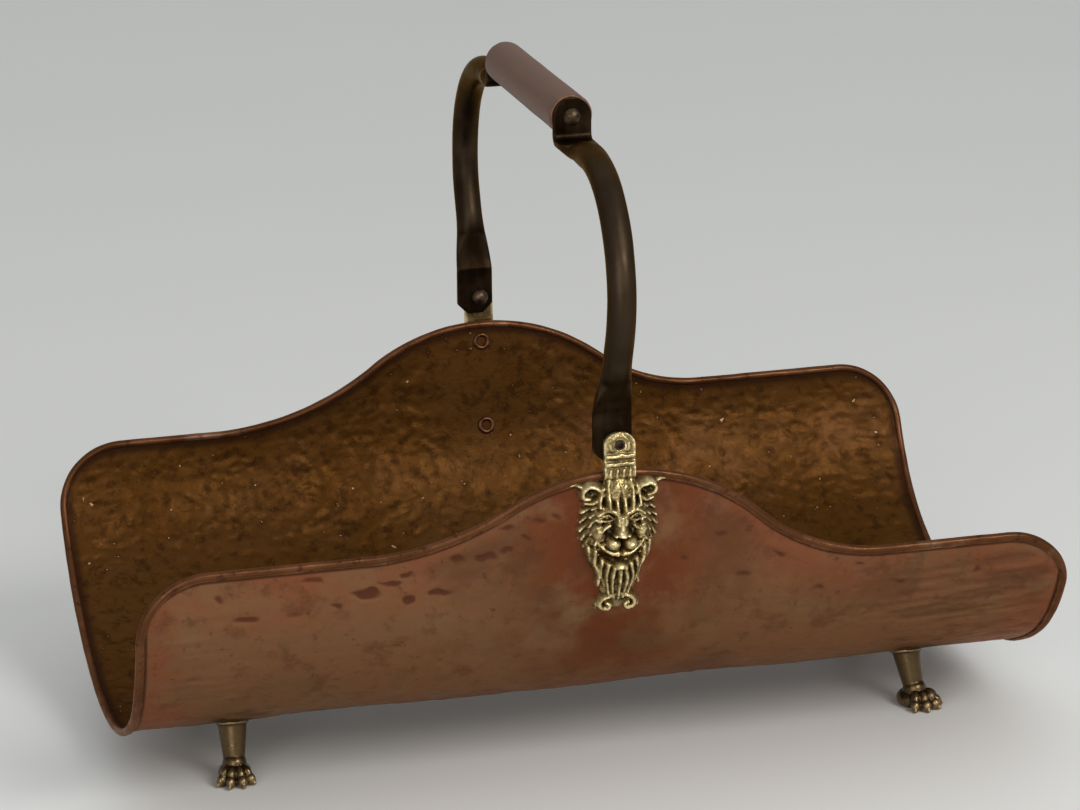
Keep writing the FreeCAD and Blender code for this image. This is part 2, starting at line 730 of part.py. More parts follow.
def handle():
    for word, side in SIDES.items():
        arm = solid_feature("arm", arm_shape(side))
        arm.Placement = side_turn(side)
        finish(arm, f"handle_arm_{word}")
    radius = size.grip_diameter / 2
    half = size.grip_length / 2
    bevel = size.grip_bevel
    pilot = size.grip_screw_diameter / 2 + size.running_clearance
    depth = half - size.grip_screw_length + size.flat_thickness - size.seat_gap
    profile = outline((pilot, -half), (radius - bevel, -half), (radius, bevel - half), (radius, half - bevel),
                      (radius - bevel, half), (pilot, half), (pilot, depth), (0, depth), (0, -depth),
                      (pilot, -depth), (pilot, -half))
    finish(turned("grip", profile, along(Y_AXIS, Z_AXIS * grip_z)), "handle_grip")
    seat = Vector(0, half + size.flat_thickness, grip_z)
    for word, side in SIDES.items():
        label = f"grip_screw_{word}"
        finish(slotted_screw(label, "grip_screw", side_turn(side) * along(Y_AXIS, seat)), label)


# Feet

def paw_foot(turn_outward):
    """A foot made for the back right: cast paw, leg and flange, in a frame with X towards the toes."""
    turn = math.radians(turn_outward)
    forward = Vector(math.sin(turn), math.cos(turn), 0)
    seat, out = foot_seat(1, 1)
    origin = Vector(seat.x, seat.y, 0) + forward * size.leg_reach
    frame = Placement(origin, Rotation(forward, Z_AXIS.cross(forward), Z_AXIS, "ZXY"))

    def ellipsoid(name, center, long, wide, tall):
        return primitive("Part::Ellipsoid", name, frame * Placement(center, Rotation()),
                         Radius1=tall, Radius2=long, Radius3=wide)

    items = [ellipsoid("paw", Vector(0, 0, 0.42 * size.paw_height), "sizes.paw_length * 0.42",
                       "sizes.paw_width * 0.46", "sizes.paw_height * 0.62")]
    for toe in TOES:
        reach = 0.34 - 0.05 * (abs(toe) > 1)
        center = Vector(reach * size.paw_length, toe * size.toe_width * 0.86, 0.34 * size.paw_height)
        items.append(ellipsoid("toe", center, "sizes.paw_length * 0.2", "sizes.toe_width / 2",
                               "sizes.paw_height * 0.46"))
    ankle = Vector(0, 0, 0.5 * size.paw_height)
    leg = Vector(-size.leg_reach, 0, seat.z) - ankle
    shin = primitive("Part::Cone", "leg", frame * along(leg, ankle),
                     Radius1="sizes.leg_ankle_diameter / 2", Radius2="sizes.leg_top_diameter / 2")
    shin.Height = leg.Length + size.flange_thickness
    flange_start = seat + out * (size.sheet_thickness / 2 + size.flange_thickness)
    flange = primitive("Part::Cylinder", "flange", along(out * -1, flange_start),
                       Radius="sizes.flange_diameter / 2", Height="2 * sizes.flange_thickness")
    return cut("foot", fused("foot_casting", items + [shin, flange]), *foot_cuts(seat, out))


def foot_cuts(seat, out):
    """What a foot leaves free: the floor, the sheet above it and its screw."""
    reach = 2 * size.basket_length
    floor = doc.addObject("Part::Box", "floor")
    floor.Length = reach
    floor.Width = reach
    floor.Height = size.paw_height
    floor.Placement.Base = Vector(-reach / 2, -reach / 2, -size.paw_height)
    room_start = bottom_center - X_AXIS * (reach / 2)
    sheet_room = primitive("Part::Cylinder", "sheet_room", along(X_AXIS, room_start),
                           Radius="sizes.bottom_radius + sizes.sheet_thickness / 2 + sizes.seat_gap")
    sheet_room.Height = reach
    hole = primitive("Part::Cylinder", "screw_hole", along(out, seat),
                     Radius="sizes.foot_screw_diameter / 2 + sizes.running_clearance",
                     Height="sizes.foot_screw_length")
    return [floor, sheet_room, hole]


def feet():
    """Four feet, with a screw and a washer inside the trough for each.

    Three are one foot and its mirror images. The front left one is set straighter.
    """
    first = paw_foot(size.paw_turn)
    straighter = mirrored("straighter_foot", paw_foot(size.front_left_turn), Y_AXIS)
    castings = {
        "back_right": first,
        "back_left": mirrored("left_foot", first, X_AXIS),
        "front_right": mirrored("front_foot", first, Y_AXIS),
        "front_left": mirrored("front_left_foot", straighter, X_AXIS),
    }
    inner_radius = size.bottom_radius - size.sheet_thickness / 2
    washer = size.foot_washer_diameter / 2
    bore = size.foot_screw_diameter / 2 + size.hole_clearance
    top = size.foot_washer_thickness
    washer_profile = outline((bore, 0), (washer, 0), (washer, top), (bore, top), (bore, 0))
    lift = size.sheet_thickness / 2 + washer ** 2 / (2 * inner_radius) + size.running_clearance
    for side_word, side in SIDES.items():
        for end_word, end in ENDS.items():
            place = f"{side_word}_{end_word}"
            seat, out = foot_seat(end, side)
            finish(castings[place], f"paw_foot_{place}")
            washer_seat = along(out * -1, seat - out * lift)
            finish(turned("washer", washer_profile, washer_seat), f"foot_washer_{place}")
            screw_seat = along(out * -1, seat - out * (lift + top))
            finish(slotted_screw("screw", "foot_screw", screw_seat), f"foot_screw_{place}")


def write_parts():
    """Check every object, then write one file for each finished sub-part."""
    doc.recompute()
    for item in doc.Objects:
        if "Invalid" in item.State or "Error" in item.State:
            raise RuntimeError(f"{item.Name} failed: {item.State}")
    for item in finished:
        if item.Shape.isNull() or not item.Shape.isValid() or len(item.Shape.Solids) != 1:
            raise RuntimeError(f"{item.Label} is not one valid solid")
    os.makedirs("parts", exist_ok=True)
    for item in finished:
        item.Shape.exportStep(f"parts/{item.Label}.step")
        print(f"{item.Label}: {item.Shape.Volume / 1000:.2f} cm3")


trough()
masks()
mask_rivets()
pivot_rivets()
handle()
feet()
write_parts()
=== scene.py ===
import json
import math
import bmesh
import bpy
import numpy as np
from mathutils import Matrix, Vector


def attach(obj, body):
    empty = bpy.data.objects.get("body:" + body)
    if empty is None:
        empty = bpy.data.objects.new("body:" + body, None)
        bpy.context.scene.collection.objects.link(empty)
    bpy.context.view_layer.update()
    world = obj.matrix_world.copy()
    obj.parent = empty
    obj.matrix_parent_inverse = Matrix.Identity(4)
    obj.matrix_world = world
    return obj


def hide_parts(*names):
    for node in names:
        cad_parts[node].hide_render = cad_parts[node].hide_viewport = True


# Looks of the copper log basket. Shapes are worked out in millimetres in the frame of the solids:
# X along the basket, +Y to its back, +Z up, and the origin on the floor under its middle.

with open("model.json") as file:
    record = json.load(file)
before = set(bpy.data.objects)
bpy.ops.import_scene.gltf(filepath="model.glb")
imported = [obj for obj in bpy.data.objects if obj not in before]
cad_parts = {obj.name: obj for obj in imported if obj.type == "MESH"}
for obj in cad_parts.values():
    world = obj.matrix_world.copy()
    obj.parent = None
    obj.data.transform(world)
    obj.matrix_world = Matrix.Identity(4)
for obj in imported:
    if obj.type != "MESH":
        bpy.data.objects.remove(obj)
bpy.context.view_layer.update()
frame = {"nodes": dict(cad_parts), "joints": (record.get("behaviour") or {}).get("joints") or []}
nodes = frame["nodes"]
MM = 0.001

# Trough, as in the solids
BASKET_LENGTH = 540.0
SHEET = 1.2
GROUND_CLEARANCE = 26.0
BOTTOM_RADIUS = 210.0
BOTTOM_ANGLE = math.radians(30)
SIDE_RADIUS = 112.0
WALL_ANGLE = math.radians(83)
HUMP_HEIGHT = 171.0
HUMP_RADIUS = 120.0
CORNER_RADIUS = 38.0
RIM_RADIUS = 2.75
# Rim of each quarter: height of its shoulder, and how far the hump runs out
QUARTERS = {
    ("back", "right"): (123.5, 138.0),
    ("front", "right"): (109.0, 158.0),
    ("front", "left"): (133.0, 142.0),
    ("back", "left"): (117.0, 172.0),
}
SIDE_SIGN = {"front": -1, "back": 1}
END_SIGN = {"left": -1, "right": 1}

# Places of the handle and the feet, as in the solids
GRIP_RISE = 165.0
PIVOT_Z = 1000 * frame["joints"][0]["pos_m"][2]
GRIP_Z = PIVOT_Z + GRIP_RISE
FOOT_X = 203.0
FOOT_Y = 56.0


# Numbers and meshes

NOISE_CELLS = 128


def random_table(seed):
    """A square of random numbers from 0 to 1, always the same for one seed."""
    return np.random.default_rng(seed).random((NOISE_CELLS, NOISE_CELLS))


def noise(u, v, seed):
    """Smooth noise from -1 to 1 with one feature in each unit square."""
    table = random_table(seed)
    cell_u, cell_v = np.floor(u).astype(int), np.floor(v).astype(int)
    along_u, along_v = u - cell_u, v - cell_v
    along_u = along_u ** 3 * (along_u * (6 * along_u - 15) + 10)
    along_v = along_v ** 3 * (along_v * (6 * along_v - 15) + 10)

    def corner(du, dv):
        return table[(cell_u + du) % NOISE_CELLS, (cell_v + dv) % NOISE_CELLS]

    low = corner(0, 0) * (1 - along_u) + corner(1, 0) * along_u
    high = corner(0, 1) * (1 - along_u) + corner(1, 1) * along_u
    return 2 * (low * (1 - along_v) + high * along_v) - 1


def ripples(u, v, *layers):
    """Layers of noise added up, each as its height, its lengths along u and v, and its seed."""
    return sum(height * noise(u / along, v / across, seed) for height, along, across, seed in layers)


def dents(u, v, seed, share):
    """Round hollows from 0 to 1 deep, one to a unit square, in a share of the squares."""
    across, down, width, depth, present = (random_table(seed + index) for index in range(5))
    deepest = np.zeros_like(u)
    cell_u, cell_v = np.floor(u).astype(int), np.floor(v).astype(int)
    for du in (-1, 0, 1):
        for dv in (-1, 0, 1):
            place = (cell_u + du) % NOISE_CELLS, (cell_v + dv) % NOISE_CELLS
            away_u = u - (cell_u + du + across[place])
            away_v = v - (cell_v + dv + down[place])
            radius = 0.45 + 0.4 * width[place]
            rounded = np.clip(1 - (away_u ** 2 + away_v ** 2) / radius ** 2, 0, 1) ** 1.5
            hollow = rounded * (0.35 + 0.65 * depth[place]) * (present[place] < share)
            deepest = np.maximum(deepest, hollow)
    return deepest


def ease(value, start, end):
    """0 before start, 1 after end, and a smooth step between them."""
    share = np.clip((value - start) / (end - start), 0, 1)
    return share * share * (3 - 2 * share)


def grid_faces(rows, columns, around=False):
    """Quads of a grid of points stored row by row, closed along each row if around is set."""
    row, column = np.meshgrid(np.arange(rows - 1), np.arange(columns - (not around)), indexing="ij")
    after = (column + 1) % columns
    quads = (row * columns + column, row * columns + after,
             (row + 1) * columns + after, (row + 1) * columns + column)
    return np.stack(quads, axis=-1).reshape(-1, 4)


def sheet_faces(rows, columns):
    """Faces of a closed sheet whose two sides are grids of points, one stored after the other."""
    count = rows * columns
    index = np.arange(count).reshape(rows, columns)
    border = np.concatenate([index[0], index[1:, -1], index[-1, -2::-1], index[-2:0:-1, 0]])
    after = np.roll(border, -1)
    edge = np.stack([border, after, after + count, border + count], axis=-1)
    front = grid_faces(rows, columns)
    return np.concatenate([front, front[:, ::-1] + count, edge])


def tube_faces(rows, columns):
    """Faces of a tube made of rings of points and closed at both ends."""
    ring = grid_faces(rows, columns, around=True)
    return [*ring.tolist(), list(range(columns)), list(range((rows - 1) * columns, rows * columns))]


def unit(rows):
    """Each row scaled to a length of 1."""
    return rows / np.linalg.norm(rows, axis=1, keepdims=True)


def new_object(name, data):
    """An object in the scene."""
    item = bpy.data.objects.new(name, data)
    bpy.context.scene.collection.objects.link(item)
    return item


def make_piece(name, points, faces, body, slot, *replaced, materials):
    """A smooth mesh from points in millimetres, riding on a body in place of some nodes."""
    mesh = bpy.data.meshes.new(name)
    places = points.reshape(-1, 3) * MM
    mesh.from_pydata(places.tolist(), [], [list(map(int, face)) for face in faces])
    piece = new_object(name, mesh)
    editable = bmesh.new()
    editable.from_mesh(mesh)
    bmesh.ops.recalc_face_normals(editable, faces=editable.faces)
    editable.to_mesh(mesh)
    editable.free()
    mesh.shade_smooth()
    for item in materials:
        mesh.materials.append(item)
    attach(piece, body)
    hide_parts(*replaced)
    return piece


def numbers(items, name, width, kind=float):
    """A row of numbers for each item of a mesh."""
    values = np.empty(width * len(items), kind)
    items.foreach_get(name, values)
    return values.reshape(-1, width)


def mark_relief(piece, *rounds):
    """Store how far each point stands out of its surroundings, smoothed over each number of rounds."""
    mesh = piece.data
    count = len(mesh.vertices)
    places = numbers(mesh.vertices, "co", 3) / MM
    normals = numbers(mesh.vertices, "normal", 3)
    pairs = numbers(mesh.edges, "vertices", 2, int)
    neighbours = np.maximum(np.bincount(pairs.ravel(), minlength=count), 1)
    smooth = places.copy()
    relief = np.zeros(count)
    for done in range(1, max(rounds) + 1):
        for axis in range(3):
            values = smooth[:, axis]
            total = np.bincount(pairs[:, 0], values[pairs[:, 1]], count)
            total += np.bincount(pairs[:, 1], values[pairs[:, 0]], count)
            smooth[:, axis] = total / neighbours
        if done in rounds:
            relief += ((places - smooth) * normals).sum(axis=1)
    store(mesh, "relief", relief / len(rounds))


def store(mesh, name, values):
    """A number for each point of a mesh, for its material to read."""
    attribute = mesh.attributes.new(name, "FLOAT", "POINT")
    attribute.data.foreach_set("value", np.asarray(values, np.float32))


# Trough: the section and the rim, laid out flat as x along the basket and s across the sheet

BOTTOM_RUN = BOTTOM_RADIUS * BOTTOM_ANGLE
WALL_START = BOTTOM_RUN + SIDE_RADIUS * (WALL_ANGLE - BOTTOM_ANGLE)
BOTTOM_Z = GROUND_CLEARANCE + SHEET / 2 + BOTTOM_RADIUS
SIDE_Y = (BOTTOM_RADIUS - SIDE_RADIUS) * math.sin(BOTTOM_ANGLE)
SIDE_Z = BOTTOM_Z - (BOTTOM_RADIUS - SIDE_RADIUS) * math.cos(BOTTOM_ANGLE)
WALL_Z = SIDE_Z - SIDE_RADIUS * math.cos(WALL_ANGLE)
RIM_END = BASKET_LENGTH / 2 - RIM_RADIUS


def sheet_place(x, s):
    """Points on the middle of the sheet and its outward directions, s being 0 under the middle."""
    run = np.abs(s)
    side = np.sign(s)
    on_bottom = run < BOTTOM_RUN
    angle = np.where(on_bottom, run / BOTTOM_RADIUS,
                     np.minimum(BOTTOM_ANGLE + (run - BOTTOM_RUN) / SIDE_RADIUS, WALL_ANGLE))
    radius = np.where(on_bottom, BOTTOM_RADIUS, SIDE_RADIUS)
    past = np.maximum(run - WALL_START, 0)
    y = np.where(on_bottom, 0, SIDE_Y) + radius * np.sin(angle) + past * np.cos(angle)
    z = np.where(on_bottom, BOTTOM_Z, SIDE_Z) - radius * np.cos(angle) + past * np.sin(angle)
    outward = np.stack([np.zeros_like(angle), side * np.sin(angle), -np.cos(angle)], axis=-1)
    return np.stack([x + 0 * y, side * y, z], axis=-1), outward


def rim_s(height):
    """Distance across the sheet to a rolled edge whose top is at a height over the underside."""
    middle = GROUND_CLEARANCE + height - RIM_RADIUS
    return WALL_START + (middle - WALL_Z) / math.sin(WALL_ANGLE)


# Tops of the humps, and middles of the masks and feet, across the sheet
HUMP_S = rim_s(HUMP_HEIGHT)
MASK_S = HUMP_S - 42
FOOT_S = 56.7
# The stain round a foot runs further up the sheet than down
STAIN_RISE = 0.36


def rim_quarter(shoulder, reach):
    """Flat outline of one quarter of the rim, from the hump's top to the middle of the end."""
    top, low = HUMP_S, rim_s(shoulder)
    dive = 2 * math.atan((top - low) / reach)
    hollow_radius = reach / math.sin(dive) - HUMP_RADIUS
    turn = np.linspace(0, dive, 30)
    back = turn[::-1]
    corner = np.linspace(0, math.pi / 2, 30)
    corner_x = RIM_END - CORNER_RADIUS
    x = np.concatenate([HUMP_RADIUS * np.sin(turn), reach - hollow_radius * np.sin(back),
                        corner_x + CORNER_RADIUS * np.sin(corner), [RIM_END]])
    s = np.concatenate([top - HUMP_RADIUS * (1 - np.cos(turn)), low + hollow_radius * (1 - np.cos(back)),
                        low - CORNER_RADIUS * (1 - np.cos(corner)), [0.0]])
    return x, s


def spaced(points, step):
    """Points at even steps along a chain of points."""
    lengths = np.concatenate([[0], np.cumsum(np.linalg.norm(np.diff(points, axis=0), axis=1))])
    even = np.linspace(0, lengths[-1], int(lengths[-1] / step) + 1)
    return np.stack([np.interp(even, lengths, values) for values in points.T], axis=-1)


def rim_loop(step):
    """Flat points all round the rim, from the back hump to the right, the front and the left."""
    chains = []
    for (side_word, end_word), quarter in QUARTERS.items():
        x, s = rim_quarter(*quarter)
        chain = np.stack([END_SIGN[end_word] * x, SIDE_SIGN[side_word] * s], axis=-1)
        chain = spaced(chain, step)
        outbound = (side_word, end_word) in (("back", "right"), ("front", "left"))
        chains.append((chain if outbound else chain[::-1])[:-1])
    return np.concatenate(chains)


def rim_limit(x, side_word):
    """How far across the sheet one side's rim stands at each x."""
    right_x, right_s = rim_quarter(*QUARTERS[side_word, "right"])
    left_x, left_s = rim_quarter(*QUARTERS[side_word, "left"])
    along = np.concatenate([-left_x[-2::-1], right_x[1:-1]])
    across = np.concatenate([left_s[-2::-1], right_s[1:-1]])
    return np.interp(x, along, across)


def to_rim(x, s):
    """Distance across the sheet to the nearer rim."""
    return np.minimum(s + rim_limit(x, "front"), rim_limit(x, "back") - s)


# Marks of the maker's hammer on the front, each as x, distance below the rim, half-length and depth
FRONT_MARKS = [
    (-208, 27, 6, 0.7), (-184, 27, 5, 0.4), (-156, 24, 5, 0.7), (-141, 19, 8, 0.8), (-128, 15, 7, 0.8),
    (-118, 12, 5, 0.7), (-120, 27, 5, 0.9), (-101, 28, 6, 0.7), (-90, 13, 5, 0.7), (-76, 18, 6, 0.8),
    (-64, 22, 6, 0.9), (-54, 20, 4, 0.7), (-64, 9, 5, 0.6), (-46, 14, 5, 0.5), (-33, 18, 5, 0.5),
    (-172, 9, 6, 0.5), (-226, 14, 4, 0.5), (38, 48, 4, 0.5), (60, 26, 5, 0.5), (74, 44, 5, 0.5),
    (96, 14, 6, 0.6), (118, 30, 5, 0.5), (140, 9, 5, 0.5), (168, 24, 5, 0.5), (190, 38, 4, 0.4),
    (214, 20, 5, 0.5),
]
MARK_HALF_WIDTH = 2.3
MARK_SLOPE = 0.15


def struck(x, s):
    """Depth of the single hammer marks on the front."""
    depth = np.zeros_like(x)
    bent_x = x + ripples(x, s, (4, 7, 5, 3))
    bent_s = s + ripples(x, s, (2, 6, 6, 4))
    for mark_x, drop, half, deep in FRONT_MARKS:
        mark_s = -rim_limit(mark_x, "front") + drop
        along = bent_x - mark_x
        across = bent_s - mark_s - MARK_SLOPE * along
        away = (along / half) ** 2 + (across / MARK_HALF_WIDTH) ** 2
        depth = np.maximum(depth, deep * np.exp(-1.3 * away))
    return depth


def hammering(x, s):
    """How far the sheet is beaten out of its plain shape, outward being positive."""
    from_end = RIM_END - np.abs(x)
    warp_x = x + ripples(x, s, (5, 17, 17, 1))
    warp_s = s + ripples(x, s, (5, 17, 17, 2))
    beaten = 0.68 * dents(warp_x / 6.8, warp_s / 5.4, 10, 0.7)
    beaten += ripples(x, s, (0.3, 17, 12, 20), (0.2, 5.5, 4.4, 21))
    # The dents are deeper at the back
    beaten *= 0.4 + 0.6 * ease(s, -60, 40)
    slow = ripples(x, s, (0.9, 70, 60, 22), (0.5, 33, 38, 23))
    wrinkles = 0.55 * noise(x / 30, s / 3.8 + x / 60, 24) + ripples(x, s, (0.3, 14, 2.6, 25))
    # Puckers at the front's right end, at its left end, and at both ends of the back
    puckered = 1.25 * ease(x, 120, 235) * ease(-np.abs(s + 150), -85, -25)
    puckered += 0.5 * ease(-x, 150, 240) * ease(-np.abs(s + 170), -70, -20)
    puckered += 0.8 * ease(-from_end, -60, -8) * ease(s, 60, 120)
    shape = slow + beaten + wrinkles * puckered - struck(x, s)
    # Plain under the masks and feet, along the rim and at the ends
    by_mask = ease(np.hypot(x, 0.52 * (np.abs(s) - MASK_S)), 22, 40)
    by_foot = ease(np.hypot(np.abs(x) - FOOT_X, np.abs(s) - FOOT_S), 13, 24)
    return shape * ease(to_rim(x, s), 1, 16) * ease(from_end, 1, 12) * by_mask * by_foot


def trough(outside, inside):
    """The beaten sheet, with an outer and an inner face."""
    corner = RIM_END - CORNER_RADIUS * (1 - np.sin(np.linspace(0, math.pi / 2, 26)))
    middle = np.linspace(-corner[0], corner[0], 320)[1:-1]
    columns = np.concatenate([-corner[::-1], middle, corner])
    x, share = np.meshgrid(columns, np.linspace(0, 1, 350), indexing="ij")
    s = -rim_limit(x, "front") * (1 - share) + rim_limit(x, "back") * share
    place, outward = sheet_place(x, s)
    shape = hammering(x, s)[..., None]
    outer = place + outward * (shape + SHEET / 2)
    inner = place + outward * (shape - SHEET / 2)
    faces = sheet_faces(*x.shape)
    piece = make_piece("beaten_copper_sheet", np.stack([outer, inner]), faces, "basket", "copper_sheet",
                       "copper_trough", materials=(outside, inside))
    kinds = np.ones(len(faces), np.int32)
    kinds[:(x.shape[0] - 1) * (x.shape[1] - 1)] = 0
    piece.data.polygons.foreach_set("material_index", kinds)
    x, s = np.tile(x.ravel(), 2), np.tile(s.ravel(), 2)
    store(piece.data, "from_edge", np.minimum(to_rim(x, s), RIM_END - np.abs(x)))
    store(piece.data, "beaten", np.concatenate([shape.ravel(), -shape.ravel()]))
    store(piece.data, "struck", struck(x, s))
    above_foot = np.abs(s) - FOOT_S
    above_foot *= np.where(above_foot > 0, STAIN_RISE, 1)
    store(piece.data, "from_foot", np.hypot(np.abs(x) - FOOT_X, above_foot))
    store(piece.data, "from_mask", np.hypot(x, 0.5 * (np.abs(s) - MASK_S)))


# Rolled edge: as it shows, a little thinner than in the solids and lifted a little

RIM_STEP = 1.6
ROLL_RADIUS = 2.35
ROLL_LIFT = 0.2


def rolled_edge(finish):
    """The edge rolled outward over its wire, down to the torn lip of the sheet."""
    flat = rim_loop(RIM_STEP)
    place, outward = sheet_place(flat[:, 0], flat[:, 1])
    along = unit(np.roll(place, -1, axis=0) - np.roll(place, 1, axis=0))
    inward = unit(np.cross(outward, along))
    step = np.arange(len(flat))[:, None] * RIM_STEP
    level = 0 * step
    turn = np.radians(np.linspace(40, 292, 20))[None, :]
    radius = ROLL_RADIUS * (0.97 + 0.05 * noise(step / 9, turn * 2.2, 33))
    lip = 2.6 + ripples(step, level, (0.2, 23, 1, 30), (0.4, 3.6, 1, 31))
    stand = 1.45 + ripples(step, level, (0.3, 7, 1, 34))
    # The section: round the roll, then down the torn lip and back up behind it
    depth = [radius * np.cos(turn) - ROLL_LIFT,
             level + 1.5, level + 1.85, 0.9 * lip, lip, lip - 0.1, level + 1.75]
    out = [-radius * np.sin(turn),
           level + 1.2, stand, stand, stand - 0.6, level, level]
    depth = np.concatenate(depth, axis=1)
    out = np.concatenate(out, axis=1)
    points = place[:, None] + depth[..., None] * inward[:, None] + out[..., None] * outward[:, None]
    rows, columns = depth.shape
    ring = grid_faces(rows + 1, columns, around=True) % (rows * columns)
    make_piece("rolled_rim", points, ring, "basket", "copper_sheet", "copper_trough", materials=(finish,))


# Lion masks: a relief over the wall, x across and d down from the top of the hump

MASK_STEP = 0.34
MASK_TOP = 2.5
MASK_END = 86
MASK_HALF = 28
# Where there is no mask its height is far below the wall, and its back lies just under the wall's face
MASK_FLOOR = -3.0
MASK_SUNK = -0.35
TAB_STEP = 0.35
TAB_INNER = 169.91
TAB_THICKNESS = 4.0
TAB_HALF = 8.75
TAB_TOP = 7.0
TAB_FOOT = 187.0
TAB_RIDGES = (6.3, 10.8)
TAB_HOLE = 2.9
FLUTE = 3.8

# Swellings of the face: x, d, half-width, half-height and how far it stands out. A pair has x above 0.
SWELLINGS = [
    (0, 31, 19.5, 26, 5.2), (0, 29, 13.5, 20, 9.0), (0, 62, 11.5, 18, 5.0), (0, 79, 10, 5.5, 3.0),
    (15.5, 11, 7, 4.4, 4.6), (0, 16.5, 10, 14.5, 9.0), (12, 34.5, 5.2, 7.5, 10.4),
    (4.9, 40.4, 5.7, 5.2, 14.6), (0, 34.4, 5.3, 2.8, 16.5), (3.6, 35.0, 2.4, 1.9, 14.6),
    (0, 55.2, 5.0, 3.2, 10.6),
]
EYE_SOCKET = (8.5, 24.8, 4.4, 2.9, 4.6)
EYE = (8.3, 24.8, 2.4, 1.9, 9.4)
# Hollows in the same form, with their depth
HOLLOWS = [
    (2.3, 36.2, 1.1, 0.9, 1.8), (16.0, 11.0, 2.4, 2.0, 2.8), (0, 42, 1.0, 5.0, 2.4),
    (0, 14, 1.0, 8, 1.2),
]
# Raised strands: points along each, then radius at its start and end, and how far the two ends stand out
STRANDS = [
    ([(1.9, 2.5), (2.4, 14), (1.8, 28)], 1.9, 1.7, 4.6, 14.4),
    ([(5.7, 2.5), (7.2, 12), (6.4, 19.5)], 1.9, 1.6, 4.4, 12.4),
    ([(9.6, 9), (11.4, 14), (11.6, 19)], 1.5, 1.1, 6.6, 9.4),
    ([(2.6, 21.8), (7.6, 19.6), (13.0, 23.6)], 2.2, 1.3, 13.4, 9.8),
    ([(0, 24), (0, 29), (0, 33)], 2.7, 4.0, 14.0, 16.0),
    ([(4.4, 25.6), (8.2, 22.8), (12.2, 25.4)], 0.9, 0.7, 10.6, 9.6),
    ([(4.6, 26.4), (8.2, 27.9), (11.8, 26.2)], 0.9, 0.7, 10.0, 9.0),
    ([(6.8, 29.4), (11.5, 33), (14.5, 40)], 1.3, 1.0, 11.2, 9.0),
    ([(1.6, 46.2), (6.0, 46.4), (10.4, 43.0), (13.0, 39.4)], 2.3, 1.2, 12.0, 9.0),
    ([(9.6, 12.6), (11.6, 8.8), (16.4, 7.2), (20.8, 9.2), (20.4, 13.6), (16.8, 14.4)], 2.1, 1.5, 7.4, 6.2),
    ([(20.8, 8.2), (24.4, 6.6), (27.0, 7.4)], 1.5, 0.5, 4.2, 1.6),
    ([(12.2, 15.4), (15.6, 17.6), (19.4, 17.0)], 1.8, 1.2, 7.6, 5.0),
    ([(13.8, 45), (14.4, 53), (10.6, 61), (11.6, 67.5)], 2.2, 1.2, 7.8, 4.0),
    ([(17.2, 43), (16.8, 51), (13.6, 58)], 1.9, 1.0, 5.8, 3.0),
    ([(0, 56), (0.5, 65), (0, 76)], 1.8, 1.2, 9.6, 5.6),
    ([(3.3, 56), (4.4, 64), (2.6, 75.5)], 1.8, 1.2, 9.2, 5.4),
    ([(6.6, 54.5), (7.9, 62), (5.2, 74)], 1.8, 1.1, 8.4, 5.0),
    ([(9.8, 52), (11.2, 58), (8.4, 68)], 1.7, 1.0, 7.4, 4.2),
    ([(2.2, 74), (6.6, 75.2), (10.2, 78.4), (9.2, 82.2), (5.6, 83.0), (3.8, 80.4), (6.0, 79.0)],
     1.8, 1.3, 5.4, 6.0),
    ([(9.0, 76.8), (11.6, 79.4), (11.8, 83.0)], 1.5, 0.7, 4.8, 2.4),
    ([(0, 75), (0, 79), (0, 82.4)], 1.5, 0.8, 5.2, 3.0),
]
# Mouth: a groove from the middle to the corner
MOUTH = [(0, 50.2), (5.6, 50.2), (10.4, 46.8)]
# Mane: rings of locks round the face, as number, inner and outer half-axes, radius and heights
FACE_CENTER = 31.0
MANE_RINGS = [
    (8, (13.4, 18.6), (21.6, 27.0), 2.3, 7.2, 3.0),
    (7, (12.0, 16.6), (17.4, 23.0), 2.1, 9.8, 6.4),
]
MANE_FROM = math.radians(-42)
MANE_TO = math.radians(46)
LOCK_SWEEP = 0.16


def both_sides(points):
    """A feature's points, and their mirror image where they are off the middle."""
    if max(abs(x) for x, _ in points) < 0.7:
        return [points]
    return [points, [(-x, d) for x, d in points]]


def strand_field(x, d, points):
    """Distance to a smooth line through some points, and the share of the way along it."""
    line = np.array(points, float)
    for _ in range(2):
        middle = 0.75 * line[:-1] + 0.25 * line[1:]
        later = 0.25 * line[:-1] + 0.75 * line[1:]
        line = np.concatenate([line[:1], np.stack([middle, later], axis=1).reshape(-1, 2)[1:-1], line[-1:]])
    nearest = np.full(x.shape, 1e9)
    share = np.zeros_like(x)
    for index, (start, end) in enumerate(zip(line, line[1:])):
        way = end - start
        step = np.clip(((x - start[0]) * way[0] + (d - start[1]) * way[1]) / (way @ way), 0, 1)
        away = np.hypot(x - start[0] - step * way[0], d - start[1] - step * way[1])
        closer = away < nearest
        nearest = np.where(closer, away, nearest)
        share = np.where(closer, (index + step) / (len(line) - 1), share)
    return nearest, share


def over(first, second, blend):
    """The higher of two heights, with the join between them rounded."""
    lap = np.clip(blend - np.abs(first - second), 0, None) / blend
    return np.maximum(first, second) + lap ** 2 * blend / 4


def around_face(axes, turn):
    """A point on an oval round the middle of the face."""
    return axes[0] * math.cos(turn), FACE_CENTER + axes[1] * math.sin(turn)


def mane_locks():
    """The mane's locks as strands that run outward and sweep down at their ends."""
    locks = []
    for number, inner, outer, radius, high, low in MANE_RINGS:
        halfway = [(near + far) / 2 for near, far in zip(inner, outer)]
        for index in range(number):
            angle = MANE_FROM + (MANE_TO - MANE_FROM) * (index + 0.5) / number
            points = [around_face(inner, angle - 0.05), around_face(halfway, angle - 0.06),
                      around_face(outer, angle + LOCK_SWEEP)]
            locks.append((points, radius, 0.5 * radius, high, low))
    return locks


